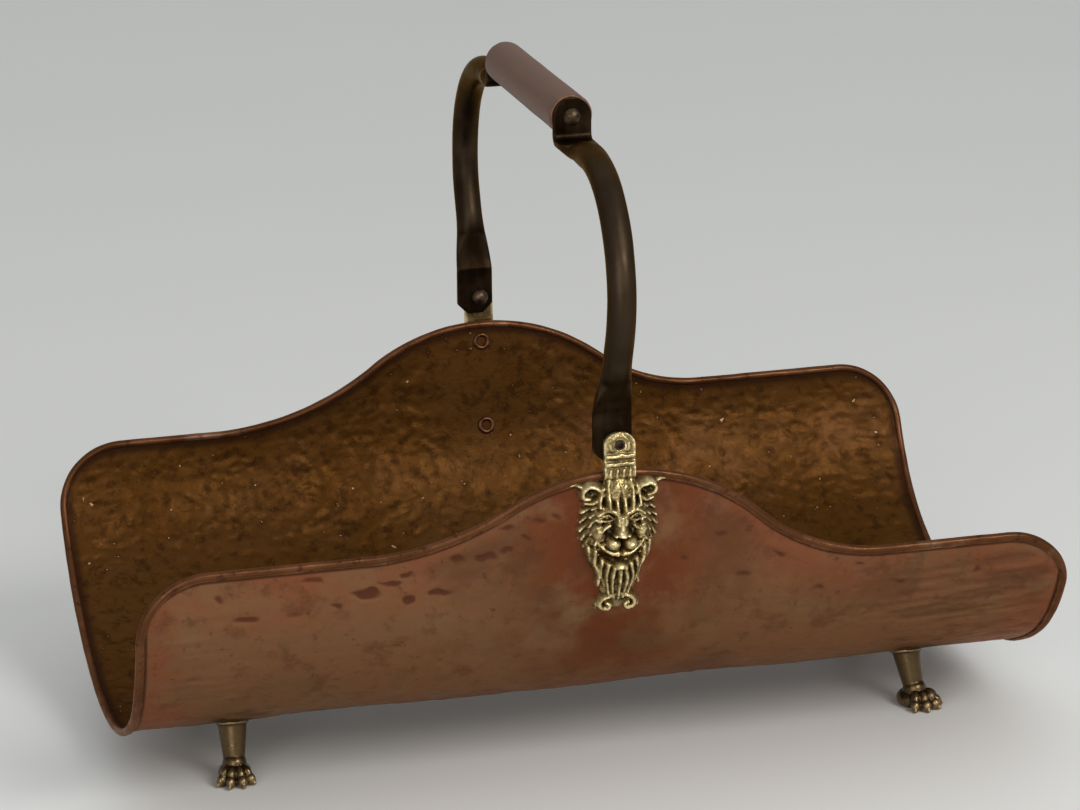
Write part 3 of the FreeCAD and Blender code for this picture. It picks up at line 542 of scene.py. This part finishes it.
def oval(x, d, form):
    """Squared distance from an oval's middle, 1 being on its edge."""
    return ((x - form[0]) / form[2]) ** 2 + ((d - form[1]) / form[3]) ** 2


def mask_height(x, d):
    """How far the mask stands out of the wall, and below it where there is no mask."""
    across = x + ripples(x, d, (0.5, 8, 8, 38))
    down = d + ripples(x, d, (0.5, 8, 8, 39))
    height = np.full(x.shape, MASK_FLOOR)
    for form in SWELLINGS:
        for mirror in (1, -1):
            away = oval(mirror * across, down, form)
            cap = np.where(away < 1, form[4] * np.sqrt(np.clip(1 - away, 0, 1)),
                           MASK_FLOOR - 2 * (away - 1))
            height = over(height, cap, 1.6)
    height = height - EYE_SOCKET[4] * np.clip(1 - oval(np.abs(across), down, EYE_SOCKET), 0, 1)
    in_eye = np.clip(1 - oval(np.abs(across), down, EYE), 0, 1)
    height = np.where(in_eye > 0, np.maximum(height, EYE[4] * in_eye ** 0.25), height)
    for points, start_radius, end_radius, start_stand, end_stand in mane_locks() + STRANDS:
        for line in both_sides(points):
            away, share = strand_field(across, down, line)
            radius = start_radius + (end_radius - start_radius) * share
            stand = start_stand + (end_stand - start_stand) * share
            away = away / radius
            lock = stand - radius * 1.35 * away ** 2
            lock = np.where(away < 1.7, lock, stand - radius * 3.9 - 9 * (away - 1.7))
            height = over(height, np.maximum(lock, MASK_FLOOR), 0.45)
    for line in both_sides(MOUTH):
        away, _ = strand_field(across, down, line)
        height -= 5.0 * np.exp(-(away / 1.5) ** 2)
    for form in HOLLOWS:
        height = height - form[4] * np.exp(-1.4 * oval(np.abs(across), down, form))
    rough = ripples(x, d, (0.26, 1.3, 1.1, 40), (0.42, 2.5, 2.7, 41))
    return height + rough * ease(height, 0.5, 3)


def wall_point(x, d, stand, sign):
    """Points over the outer face of a side's wall, below the hump's top."""
    place, outward = sheet_place(x, sign * (HUMP_S + RIM_RADIUS - d))
    return place + outward * (stand + SHEET / 2)[..., None]


def mask_grid():
    """Places over the wall, how far the lion's head stands out of it there, and the faces it needs."""
    down = np.arange(MASK_TOP, MASK_END, MASK_STEP)
    across = np.arange(-MASK_HALF, MASK_HALF + 0.01, MASK_STEP)
    d, x = np.meshgrid(down, across, indexing="ij")
    height = mask_height(x, d)
    faces = grid_faces(*x.shape)
    return x, d, height, faces[(height.ravel()[faces] > MASK_SUNK).any(axis=1)]


def mask_relief(grid, sign):
    """Points and faces of the lion's head as a closed casting whose back is sunk into the wall's face."""
    x, d, height, kept = grid
    front = wall_point(x, d, np.maximum(height, MASK_SUNK), sign).reshape(-1, 3)
    back = wall_point(x, d, np.full(x.shape, MASK_SUNK - 0.1), sign).reshape(-1, 3)
    edges = np.concatenate([kept[:, [i, (i + 1) % 4]] for i in range(4)])
    _, index, counts = np.unique(np.sort(edges, axis=1), axis=0, return_index=True, return_counts=True)
    border = edges[index[counts == 1]]
    count = x.size
    walls = np.stack([border[:, 1], border[:, 0], border[:, 0] + count, border[:, 1] + count], axis=-1)
    every = np.concatenate([kept, kept[:, ::-1] + count, walls])
    used, every = np.unique(every, return_inverse=True)
    return np.concatenate([front, back])[used], every.reshape(-1, 4)


def tab_relief(sign):
    """Points and faces of the tab above the rim: round top, two ridges, and flutes below them."""
    turn = np.linspace(0, math.pi / 2, 30)
    z = np.concatenate([np.arange(TAB_FOOT, PIVOT_Z, TAB_STEP), PIVOT_Z + TAB_TOP * np.sin(turn)])
    z, share = np.meshgrid(z, np.linspace(-1, 1, 61), indexing="ij")
    above = z - PIVOT_Z
    half = TAB_HALF * np.sqrt(np.clip(1 - (np.clip(above, 0, TAB_TOP) / TAB_TOP) ** 2, 1e-4, None))
    x = share * half
    edge = np.clip((1 - np.abs(share)) * half / 1.4, 0, 1)
    from_pivot = np.hypot(x, above)
    petals = 0.4 + np.abs(np.sin(2.5 * np.arctan2(x, above)))
    leaf = 0.9 * np.exp(-((from_pivot - 5.2) / 1.3) ** 2) * petals
    stand = leaf * edge - 0.9 * (1 - edge) ** 2
    fluted = ease(-above, 12.2, 13.4)
    bent_x = x + ripples(x, z, (0.5, 4, 5, 42))
    flutes = 2.6 * np.abs(np.sin(math.pi * bent_x / FLUTE)) ** 0.8 - 1.3
    stand = stand * (1 - fluted) + flutes * fluted * edge ** 0.5
    for drop in TAB_RIDGES:
        from_ridge = np.abs(above + drop)
        bar = 1.5 * np.sqrt(np.clip(1 - (from_ridge / 1.4) ** 2, 0, 1)) * edge ** 0.5
        stand = np.maximum(stand - 0.7 * np.exp(-((from_ridge - 2.2) / 0.7) ** 2), bar)
    stand += ripples(x, z, (0.22, 1.6, 1.4, 43), (0.25, 3, 3, 44))
    # The tab's lower end sinks behind the lion's head, and its hole is sunk under the rivet
    stand -= 8 * ease(TAB_FOOT - z, -8, -1)
    stand = np.where(from_pivot < TAB_HOLE, -3.4, stand)
    front = np.stack([x, sign * (TAB_INNER + np.maximum(TAB_THICKNESS + stand, 0.4)), z], axis=-1)
    rear = np.stack([x, sign * (TAB_INNER + 0 * z), z], axis=-1)
    return np.stack([front, rear]).reshape(-1, 3), sheet_faces(*x.shape)


def lion_masks(finish):
    """A lion's head with its tab on each long side."""
    grid = mask_grid()
    for side_word, sign in SIDE_SIGN.items():
        points, faces = mask_relief(grid, sign)
        tab_points, tab_faces = tab_relief(sign)
        piece = make_piece(f"lion_head_{side_word}", np.concatenate([points, tab_points]),
                           np.concatenate([faces, tab_faces + len(points)]), "basket", "cast_brass",
                           f"lion_mask_{side_word}", materials=(finish,))
        mark_relief(piece, 8, 60)


# Handle: a tube with flat ends, the lower one at the pivot and the upper one folded up beside the grip

ARM_STEP = 0.7
ARM_HALF = 8.0
FLAT_HALF = 11.0
FLAT_THICK = 1.75
FLAT_Y = 167.86
FLAT_LOW = 10.0
FLAT_HIGH = 18.0
FLAT_CORNER = 6.0
BEND_RADIUS = 65.0
BEND_Y = 125.0
STRAP_Z = PIVOT_Z + 151.0
STRAP_Y = 92.75
PLATE_Y = 81.75
FOLD_RADIUS = 5.0
# Where the tube goes from flat to round, above the pivot and out along the strap
LOWER_TAPER = (14, 52)
UPPER_TAPER = (-2, 30)
LEAN = 3.0 / GRIP_RISE
GRIP_RADIUS = 12.5
GRIP_HALF = 80.0
GRIP_BEVEL = 1.6


def arm_path():
    """Middle line of an arm in y and z, from its lower end to the top of its end plate."""
    bend_z = STRAP_Z - BEND_RADIUS
    flat_top = np.array([FLAT_Y, PIVOT_Z + FLAT_HIGH])
    to_center = np.array([BEND_Y, bend_z]) - flat_top
    tilt = math.atan2(*to_center) + math.asin(BEND_RADIUS / np.linalg.norm(to_center))
    turn = np.linspace(-tilt, math.pi / 2, 60)
    bend = np.stack([BEND_Y + BEND_RADIUS * np.cos(turn), bend_z + BEND_RADIUS * np.sin(turn)], axis=-1)
    fold = np.radians(np.linspace(270, 180, 16))
    fold_center = PLATE_Y + FOLD_RADIUS, STRAP_Z + FOLD_RADIUS
    folded = np.stack([fold_center[0] + FOLD_RADIUS * np.cos(fold),
                       fold_center[1] + FOLD_RADIUS * np.sin(fold)], axis=-1)
    low = np.array([[FLAT_Y, PIVOT_Z - FLAT_LOW], flat_top])
    high = np.array([[PLATE_Y, GRIP_Z + FLAT_HALF]])
    return spaced(np.concatenate([low, bend, folded, high]), ARM_STEP)


def handle_arm(side_word, finish):
    """A tube flattened at both ends, its section going from flat to round and back."""
    path = arm_path()
    along = unit(np.gradient(path, axis=0))
    along = unit(np.stack([np.convolve(np.pad(values, 6, mode="edge"), np.ones(13) / 13, "valid")
                           for values in along.T], axis=-1))
    y, z = path.T
    roundness = np.minimum(ease(z - PIVOT_Z, *LOWER_TAPER), ease(y - STRAP_Y, *UPPER_TAPER))
    half = FLAT_HALF + (ARM_HALF - FLAT_HALF) * roundness
    from_low = np.arange(len(path)) * ARM_STEP
    half = np.minimum(half, FLAT_HALF - FLAT_CORNER + from_low)
    above_grip = np.maximum(z - GRIP_Z, 0)
    half = np.minimum(half, np.sqrt(np.clip(FLAT_HALF ** 2 - above_grip ** 2, 0.2, None)))
    thick = FLAT_THICK + (ARM_HALF - FLAT_THICK) * roundness ** 1.15
    power = 2 / (8 - 6 * np.clip(roundness * 1.4, 0, 1) ** 0.7)
    turn = np.linspace(0, 2 * math.pi, 48, endpoint=False)[None, :]
    cos, sin = np.cos(turn), np.sin(turn)
    section_x = half[:, None] * np.sign(cos) * np.abs(cos) ** power[:, None]
    section_t = thick[:, None] * np.sign(sin) * np.abs(sin) ** power[:, None]
    worn = 0.12 * noise(from_low[:, None] / 17, 3 * turn / math.pi, 50) * roundness[:, None]
    section_x = section_x * (1 + worn / ARM_HALF)
    point_y = y[:, None] + section_t * along[:, 1:2]
    point_z = z[:, None] - section_t * along[:, 0:1]
    point_x = section_x + LEAN * (point_z - GRIP_Z)
    points = np.stack([point_x, SIDE_SIGN[side_word] * point_y, point_z], axis=-1)
    piece = make_piece(f"arm_{side_word}", points, tube_faces(*point_x.shape), "handle", "arm_bronze",
                       f"handle_arm_{side_word}", materials=(finish,))
    mark_relief(piece, 30)


def grip(finish):
    """The wooden bar, turned, with worn ends."""
    bevel = np.radians(np.linspace(0, 90, 8))[::-1]
    end_y = GRIP_HALF - GRIP_BEVEL * (1 - np.cos(bevel))
    end_r = GRIP_RADIUS - GRIP_BEVEL * (1 - np.sin(bevel))
    middle = np.linspace(-end_y[0], end_y[0], 90)[1:-1]
    y = np.concatenate([-end_y[::-1], middle, end_y])[:, None]
    radius = np.concatenate([end_r[::-1], np.full(len(middle), GRIP_RADIUS), end_r])[:, None]
    turn = np.linspace(0, 2 * math.pi, 96, endpoint=False)[None, :]
    worn = 0.12 * noise(y / 23, turn * 2, 60) + 0.05 * noise(y / 60, turn * 8, 61)
    worn -= 0.5 * ease(np.abs(y), GRIP_HALF - 8, GRIP_HALF) * np.clip(noise(y / 9, turn * 3, 62), 0, 1)
    radius = radius + worn - 0.12
    points = np.stack([radius * np.cos(turn), y + 0 * turn, GRIP_Z + radius * np.sin(turn)], axis=-1)
    make_piece("wooden_grip", points, tube_faces(*radius.shape), "handle", "grip_wood", "handle_grip",
               materials=(finish,))


# Feet

LEG_REACH = 9.0
PAW_TURN = math.radians(25)
FRONT_LEFT_TURN = math.radians(6)
PAW_VOXEL = 0.45
LEG_STEPS = 30
FLANGE_RADII = (9.9, 9.5)
FLANGE_DEPTH = 1.6
FLANGE_OUT = 1.4
# Rounded parts of a paw: towards the toes, across, up, then the three half-sizes
PAW_FORMS = [(-2.5, 0, 4.6, 10.5, 9.6, 6.6), (-1.2, 0, 10.5, 7.2, 7.0, 7.0)]
# Parts of one toe in the same form, along the toe's own line
TOE_FORMS = [(8.2, 0, 6.0, 5.2, 3.2, 5.4), (12.4, 0, 3.6, 4.0, 3.0, 3.9), (15.3, 0, 2.0, 2.3, 1.2, 1.7)]
TOE_ANGLES = [math.radians(angle) for angle in (-44, -15, 15, 44)]


def paw_parts(turn_outward):
    """Parts of a foot at the back right: paw and toes, leg, and the flange under the sheet."""
    forward = Vector((math.sin(turn_outward), math.cos(turn_outward), 0))
    across = Vector((0, 0, 1)).cross(forward)
    seat_angle = math.asin(FOOT_Y / BOTTOM_RADIUS)
    out = Vector((0, math.sin(seat_angle), -math.cos(seat_angle)))
    seat = Vector((FOOT_X, FOOT_Y, BOTTOM_Z - BOTTOM_RADIUS * math.cos(seat_angle)))
    origin = Vector((FOOT_X, FOOT_Y, 0)) + forward * LEG_REACH
    axes = Matrix((forward, across, Vector((0, 0, 1)))).transposed()
    shape = bmesh.new()

    def rounded(center, halves, turn=0.0):
        local = Matrix.Rotation(turn, 4, "Z") @ Matrix.Translation(center) @ Matrix.Diagonal((*halves, 1))
        place = Matrix.Translation(origin) @ axes.to_4x4() @ local
        bmesh.ops.create_icosphere(shape, subdivisions=4, radius=1, matrix=place)

    for *center, long, wide, tall in PAW_FORMS:
        rounded(Vector(center), (long, wide, tall))
    for angle in TOE_ANGLES:
        shorter = 1.0 - 0.1 * (abs(angle) > 0.4)
        for reach, side, up, long, wide, tall in TOE_FORMS:
            rounded(Vector((reach * shorter, side, up)), (long, wide, tall), angle)
    ankle = Vector((-1.5, 0, 9))
    top = Vector((-LEG_REACH, 0, seat.z))
    for step in range(LEG_STEPS + 1):
        share = step / LEG_STEPS
        swell = 5.7 + 3.2 * share ** 0.8
        rounded(ankle.lerp(top, share), (swell, swell * 0.96, 2.6))
    tilted = out.to_track_quat("Z", "Y").to_matrix().to_4x4()
    flange = Matrix.Translation(seat + out * FLANGE_OUT) @ tilted
    bmesh.ops.create_cone(shape, cap_ends=True, segments=64, radius1=FLANGE_RADII[0],
                          radius2=FLANGE_RADII[1], depth=FLANGE_DEPTH, matrix=flange)
    return shape


def blended(shape):
    """Points and faces of the skin over parts that run into each other."""
    mesh = bpy.data.meshes.new("paw_parts")
    shape.to_mesh(mesh)
    shape.free()
    rough = new_object("paw_parts", mesh)
    remesh = rough.modifiers.new("blend", "REMESH")
    remesh.mode = "VOXEL"
    remesh.voxel_size = PAW_VOXEL
    smooth = rough.modifiers.new("soften", "SMOOTH")
    smooth.iterations = 4
    smooth.factor = 0.5
    final = bpy.data.meshes.new_from_object(rough.evaluated_get(bpy.context.evaluated_depsgraph_get()))
    points = np.array([vertex.co for vertex in final.vertices])
    faces = [list(face.vertices) for face in final.polygons]
    bpy.data.objects.remove(rough)
    bpy.data.meshes.remove(mesh)
    bpy.data.meshes.remove(final)
    return points, faces


def paw_mesh(turn_outward):
    """Points and faces of a foot at the back right, cut off at the floor and at the sheet."""
    points, faces = blended(paw_parts(turn_outward))
    points[:, 2] = np.maximum(points[:, 2], 0)
    away = np.hypot(points[:, 1], points[:, 2] - BOTTOM_Z)
    pressed = np.maximum(away, BOTTOM_RADIUS + SHEET / 2 + 0.05) / away
    points[:, 1] *= pressed
    points[:, 2] = BOTTOM_Z + (points[:, 2] - BOTTOM_Z) * pressed
    return points, faces


def feet(finish):
    """Four feet, the front left one set straighter than the others."""
    turned_out = paw_mesh(PAW_TURN)
    straighter = paw_mesh(FRONT_LEFT_TURN)
    for side_word, end_word in QUARTERS:
        corner = f"{side_word}_{end_word}"
        points, faces = straighter if corner == "front_left" else turned_out
        placed = points * (END_SIGN[end_word], SIDE_SIGN[side_word], 1)
        piece = make_piece(f"paw_{corner}", placed, faces, "basket", "dark_brass", f"paw_foot_{corner}",
                           materials=(finish,))
        mark_relief(piece, 8, 40)


# Materials

def new_material(name, **values):
    """A node material and its nodes, with the values that are the same all over it."""
    material = bpy.data.materials.new(name)
    material.use_nodes = True
    shader = material.node_tree.nodes["Principled BSDF"]
    for socket, value in values.items():
        shader.inputs[socket.replace("_", " ")].default_value = value
    return material, material.node_tree


def link_shader(tree, socket, output):
    """Join a node's output to the shader of a material."""
    tree.links.new(output, tree.nodes["Principled BSDF"].inputs[socket])


def add(tree, kind, inputs, **properties):
    """A node with its properties set, and its inputs as values or as outputs of other nodes."""
    node = tree.nodes.new("ShaderNode" + kind)
    for name, value in properties.items():
        setattr(node, name, value)
    for name, value in inputs.items():
        if isinstance(value, bpy.types.NodeSocket):
            tree.links.new(value, node.inputs[name])
        else:
            node.inputs[name].default_value = value
    return node


def spots(tree, scale, detail, rough=0.6, stretch=(1, 1, 1)):
    """Noise from 0 to 1 over the piece, scale being its features to the metre."""
    place = add(tree, "TexCoord", {}).outputs["Object"]
    place = add(tree, "Mapping", {"Vector": place, "Scale": stretch}).outputs["Vector"]
    inputs = {"Vector": place, "Scale": scale, "Detail": detail, "Roughness": rough}
    return add(tree, "TexNoise", inputs).outputs["Fac"]


def stored(tree, name):
    """A number that was stored for each point of the piece."""
    return add(tree, "Attribute", {}, attribute_name=name).outputs["Fac"]


def span(tree, value, start, end, low=0.0, high=1.0):
    """A value carried from one range to another and held inside it."""
    inputs = {"Value": value, "From Min": start, "From Max": end, "To Min": low, "To Max": high}
    return add(tree, "MapRange", inputs, interpolation_type="SMOOTHSTEP").outputs["Result"]


def math_node(tree, operation, first, second):
    """Two values added or multiplied."""
    return add(tree, "Math", {0: first, 1: second}, operation=operation).outputs[0]


# Numbers of the sockets of a mix node that it uses for colours
MIX_INPUTS = (0, 6, 7)
MIX_OUTPUT = 2


def mixed(tree, share, first, second):
    """Two colours mixed by a share."""
    first, second = ((*colour, 1) if isinstance(colour, tuple) else colour for colour in (first, second))
    inputs = dict(zip(MIX_INPUTS, (share, first, second)))
    return add(tree, "Mix", inputs, data_type="RGBA").outputs[MIX_OUTPUT]


def speckled(tree, colour, *layers):
    """A colour with spots over it, each layer as its noise, start, end, share and colour."""
    for form, start, end, share, spot_colour in layers:
        colour = mixed(tree, span(tree, spots(tree, *form), start, end, 0, share), colour, spot_colour)
    return colour


def surface(material, colour, dull, smoothest, roughest, bumps, height, strength):
    """A material with its colour, a roughness that follows dull spots, and fine bumps."""
    tree = material.node_tree
    bump = add(tree, "Bump", {"Height": bumps, "Distance": height, "Strength": strength})
    link_shader(tree, "Base Color", colour)
    link_shader(tree, "Roughness", span(tree, dull, 0.3, 0.7, smoothest, roughest))
    link_shader(tree, "Normal", bump.outputs["Normal"])
    return material


COPPER_TINT = (0.8, 0.5, 0.36, 1)


def outside_copper():
    """Brown copper, redder by the rim and the masks, stained, and dark round the feet, with painted shade
    in its dents and hammer marks and a painted shadow under the rim.
    """
    material, tree = new_material("copper_outside", Metallic=0.6, Specular_IOR_Level=0.15,
                                  Specular_Tint=COPPER_TINT)
    patches = span(tree, spots(tree, 8, 4), 0.38, 0.62)
    colour = mixed(tree, patches, (0.17, 0.096, 0.046), (0.178, 0.083, 0.038))
    by_edge = span(tree, stored(tree, "from_edge"), 12, 48, 1, 0)
    by_mask = span(tree, stored(tree, "from_mask"), 24, 95, 1, 0)
    blush = span(tree, spots(tree, 24, 5), 0.32, 0.56)
    colour = mixed(tree, math_node(tree, "MULTIPLY", by_edge, blush), colour, (0.188, 0.066, 0.031))
    colour = mixed(tree, math_node(tree, "MULTIPLY", by_mask, blush), colour, (0.125, 0.036, 0.0135))
    # Dull patches, pink patches and stains
    colour = speckled(tree, colour, ((17, 6, 0.7), 0.52, 0.68, 0.6, (0.119, 0.074, 0.035)),
                      ((31, 5, 0.65), 0.55, 0.68, 0.5, (0.19, 0.084, 0.047)),
                      ((52, 6, 0.7), 0.52, 0.66, 0.55, (0.092, 0.038, 0.018)))
    # Painted shade in the dents
    hollow = span(tree, stored(tree, "beaten"), -1.2, -0.3, 0.5, 0)
    colour = mixed(tree, hollow, colour, (0.075, 0.033, 0.016))
    # Flecks
    colour = speckled(tree, colour, ((190, 4, 0.7), 0.6, 0.7, 0.6, (0.07, 0.031, 0.016)))
    # Painted shade in the hammer marks
    marks = span(tree, stored(tree, "struck"), 0.12, 0.5, 0, 0.85)
    colour = mixed(tree, marks, colour, (0.075, 0.024, 0.013))
    ragged = span(tree, spots(tree, 60, 4), 0.3, 0.7, -7, 7)
    by_foot = math_node(tree, "ADD", stored(tree, "from_foot"), ragged)
    colour = mixed(tree, span(tree, by_foot, 12, 22, 0.9, 0), colour, (0.045, 0.024, 0.013))
    # Painted shadow on the sheet just under the rolled edge
    under_rim_shade = span(tree, stored(tree, "from_edge"), 3.2, 4.8, 0.85, 0)
    colour = mixed(tree, under_rim_shade, colour, (0.04, 0.014, 0.008))
    return surface(material, colour, spots(tree, 60, 5), 0.34, 0.52, spots(tree, 210, 5), 0.0005, 0.4)


def inside_copper():
    """Darker and yellower copper, flecked, with a painted highlight on its bumps and a painted shadow along
    its edge under the rim.
    """
    material, tree = new_material("copper_inside", Metallic=0.4, Specular_IOR_Level=0.06,
                                  Specular_Tint=COPPER_TINT)
    patches = span(tree, spots(tree, 13, 4), 0.35, 0.65)
    colour = mixed(tree, patches, (0.066, 0.0255, 0.0042), (0.073, 0.03, 0.0072))
    # Dark flecks
    colour = speckled(tree, colour, ((120, 4, 0.7), 0.48, 0.66, 0.75, (0.03, 0.0115, 0.003)))
    # Painted highlight on the bumps
    raised = span(tree, stored(tree, "beaten"), 0.3, 1.0, 0, 0.5)
    colour = mixed(tree, raised, colour, (0.094, 0.039, 0.014))
    # Pale specks
    colour = speckled(tree, colour, ((240, 2, 0.5), 0.73, 0.77, 0.8, (0.4, 0.25, 0.13)))
    # Painted shadow along the edge, under the inner side of the rolled rim
    under_rim_shade = span(tree, stored(tree, "from_edge"), 3, 8, 0.8, 0)
    colour = mixed(tree, under_rim_shade, colour, (0.022, 0.008, 0.004))
    return surface(material, colour, spots(tree, 90, 5), 0.32, 0.48,
                   spots(tree, 190, 5, 0.65), 0.0007, 0.6)


def rim_copper():
    """The rolled edge: dark, rubbed brighter in places."""
    material, tree = new_material("copper_rim", Metallic=0.6, Specular_IOR_Level=0.15,
                                  Specular_Tint=COPPER_TINT)
    patches = span(tree, spots(tree, 40, 5), 0.4, 0.66)
    colour = mixed(tree, patches, (0.085, 0.033, 0.0125), (0.125, 0.05, 0.022))
    # Rubbed places and dark flecks
    colour = speckled(tree, colour, ((19, 4), 0.57, 0.72, 0.6, (0.24, 0.13, 0.085)),
                      ((210, 4), 0.56, 0.68, 0.6, (0.026, 0.011, 0.006)))
    return surface(material, colour, spots(tree, 70, 4), 0.28, 0.44, spots(tree, 260, 4), 0.0004, 0.5)


def cast_metal(name, deep, middle, bright, reach):
    """Old cast metal: dark in its recesses and rubbed bright on its high points."""
    material, tree = new_material(name, Metallic=0.9)
    relief = stored(tree, "relief")
    tarnish = spots(tree, 160, 5, 0.65)
    colour = mixed(tree, span(tree, relief, -reach, 0.15 * reach), deep, middle)
    high = span(tree, relief, 0.1 * reach, reach)
    rubbed = math_node(tree, "MULTIPLY", high, span(tree, tarnish, 0.3, 0.6))
    colour = mixed(tree, rubbed, colour, bright)
    # Stains
    colour = speckled(tree, colour, ((75, 5, 0.7), 0.56, 0.72, 0.55, deep))
    return surface(material, colour, tarnish, 0.22, 0.42, spots(tree, 900, 3), 0.0002, 0.5)


def tube_bronze():
    """Dark bronze of the arms, with streaks along the tube and lighter worn places."""
    material, tree = new_material("arm_bronze", Metallic=0.85, Specular_IOR_Level=0.08,
                                  Specular_Tint=(0.75, 0.55, 0.36, 1))
    streaks = span(tree, spots(tree, 120, 5, 0.6, (1, 1, 0.16)), 0.35, 0.65)
    colour = mixed(tree, streaks, (0.0075, 0.0042, 0.0018), (0.015, 0.0088, 0.0044))
    # Worn places
    colour = speckled(tree, colour, ((30, 4), 0.52, 0.68, 0.75, (0.034, 0.02, 0.011)))
    rubbed = span(tree, stored(tree, "relief"), 0.7, 1.3, 0, 0.6)
    colour = mixed(tree, rubbed, colour, (0.09, 0.062, 0.04))
    return surface(material, colour, spots(tree, 55, 5), 0.3, 0.5, spots(tree, 330, 3), 0.0002, 0.35)


def stained_wood():
    """Taupe stained wood with a fine grain along the grip, clouds and dark scuffs."""
    material, tree = new_material("stained_wood", Specular_IOR_Level=0.3, Coat_Weight=0.05,
                                  Coat_Roughness=0.3)
    grain = spots(tree, 260, 5, 0.6, (1, 0.06, 1))
    colour = mixed(tree, span(tree, grain, 0.35, 0.65), (0.108, 0.049, 0.026), (0.152, 0.072, 0.04))
    # Clouds and scuffs
    colour = speckled(tree, colour, ((26, 4), 0.4, 0.7, 0.6, (0.135, 0.06, 0.035)),
                      ((140, 4, 0.7, (1, 0.3, 1)), 0.64, 0.76, 0.6, (0.06, 0.034, 0.025)))
    return surface(material, colour, grain, 0.42, 0.56, grain, 0.0002, 0.4)


def plain_metal(name, dark, light, rough):
    """Small turned pieces of tarnished metal."""
    material, tree = new_material(name, Metallic=0.85)
    tarnish = spots(tree, 220, 5, 0.65)
    colour = mixed(tree, span(tree, tarnish, 0.35, 0.65), dark, light)
    return surface(material, colour, tarnish, rough, rough + 0.18, spots(tree, 700, 3), 0.0001, 0.4)


def finish_nodes(prefix, material):
    """Give every node whose name starts with a prefix its material."""
    for name, node in nodes.items():
        if name.startswith(prefix):
            node.data.materials.clear()
            node.data.materials.append(material)


# Camera, light and floor

FOCAL_PIXELS = 4352.8
IMAGE_WIDTH = 1080
CAMERA_AZIMUTH = math.radians(-13.39)
CAMERA_ELEVATION = math.radians(16.0)
CAMERA_ROLL = math.radians(-1.5)
CAMERA_DISTANCE = 2.5522
CAMERA_TARGET = Vector((-0.00305, 0, 0.1881))


def set_camera():
    """The photograph's viewpoint."""
    data = bpy.data.cameras.new("camera")
    data.sensor_width = 36
    data.lens = FOCAL_PIXELS * data.sensor_width / IMAGE_WIDTH
    data.clip_end = 100
    camera = new_object("camera", data)
    level = math.cos(CAMERA_ELEVATION)
    back = Vector((math.sin(CAMERA_AZIMUTH) * level, -math.cos(CAMERA_AZIMUTH) * level,
                   math.sin(CAMERA_ELEVATION)))
    right = Vector((0, 0, 1)).cross(back).normalized()
    up = back.cross(right)
    rolled_right = right * math.cos(CAMERA_ROLL) + up * math.sin(CAMERA_ROLL)
    rolled_up = up * math.cos(CAMERA_ROLL) - right * math.sin(CAMERA_ROLL)
    turn = Matrix((rolled_right, rolled_up, back)).transposed().to_4x4()
    camera.matrix_world = Matrix.Translation(CAMERA_TARGET + back * CAMERA_DISTANCE) @ turn
    bpy.context.scene.camera = camera


def add_lamp(name, place, aim, size, power, colour):
    """A round lamp at a place in metres, turned towards an aim."""
    data = bpy.data.lights.new(name, "AREA")
    data.shape = "DISK"
    data.size = size
    data.energy = power
    data.color = colour
    lamp = new_object(name, data)
    lamp.location = place
    lamp.rotation_euler = (Vector(aim) - Vector(place)).to_track_quat("-Z", "Y").to_euler()


def set_light():
    """A pale room, brighter from above, with a wide lamp at the front right and a fill at the left."""
    world = bpy.data.worlds.new("room")
    world.use_nodes = True
    tree = world.node_tree
    background = tree.nodes["Background"]
    way = add(tree, "TexCoord", {}).outputs["Generated"]
    height = add(tree, "SeparateXYZ", {"Vector": way}).outputs["Z"]
    shade = mixed(tree, span(tree, height, -0.2, 0.9), (0.42, 0.43, 0.43), (0.78, 0.8, 0.8))
    tree.links.new(shade, background.inputs["Color"])
    background.inputs["Strength"].default_value = 0.75
    bpy.context.scene.world = world
    add_lamp("window", (0.95, -2.1, 1.65), (0, 0, 0.15), 1.3, 38, (1, 0.98, 0.95))
    add_lamp("fill", (-1.3, -2.6, 0.8), (0, 0, 0.12), 1.8, 24, (1, 0.98, 0.96))


def set_floor():
    """A pale floor, wide enough to have no edge in the picture."""
    half = 12.0
    corners = [(-half, -half, 0), (half, -half, 0), (half, half, 0), (-half, half, 0)]
    mesh = bpy.data.meshes.new("floor")
    mesh.from_pydata(corners, [], [(0, 1, 2, 3)])
    floor = new_object("floor", mesh)
    material, tree = new_material("pale_floor", Roughness=0.55)
    colour = mixed(tree, spots(tree, 3, 2), (0.785, 0.785, 0.77), (0.81, 0.81, 0.795))
    link_shader(tree, "Base Color", colour)
    mesh.materials.append(material)


# The whole scene

# Small turned pieces: start of their names, material, its dark and light colours, and roughness
SMALL_METALS = [
    ("pivot_rivet", "rivet_bronze", (0.04, 0.024, 0.014), (0.11, 0.07, 0.045), 0.28),
    ("mask_rivet", "rivet_copper", (0.06, 0.024, 0.009), (0.13, 0.055, 0.028), 0.26),
    ("grip_screw", "screw_brass", (0.03, 0.019, 0.01), (0.095, 0.062, 0.034), 0.3),
    ("foot_screw", "foot_screw_brass", (0.08, 0.05, 0.022), (0.2, 0.14, 0.07), 0.3),
    ("foot_washer", "washer_brass", (0.09, 0.06, 0.028), (0.22, 0.15, 0.075), 0.32),
    ("edge_wire", "wire_iron", (0.2, 0.19, 0.18), (0.3, 0.29, 0.28), 0.35),
]

trough(outside_copper(), inside_copper())
rolled_edge(rim_copper())
lion_masks(cast_metal("antique_brass", (0.018, 0.013, 0.005), (0.27, 0.195, 0.08), (0.8, 0.66, 0.36),
                      0.8))
bronze = tube_bronze()
for word in SIDE_SIGN:
    handle_arm(word, bronze)
grip(stained_wood())
feet(cast_metal("dark_brass", (0.014, 0.009, 0.004), (0.105, 0.068, 0.031), (0.36, 0.26, 0.132), 0.65))
for prefix, *look in SMALL_METALS:
    finish_nodes(prefix, plain_metal(*look))
set_camera()
set_light()
set_floor()
bpy.context.scene.view_settings.view_transform = "Standard"
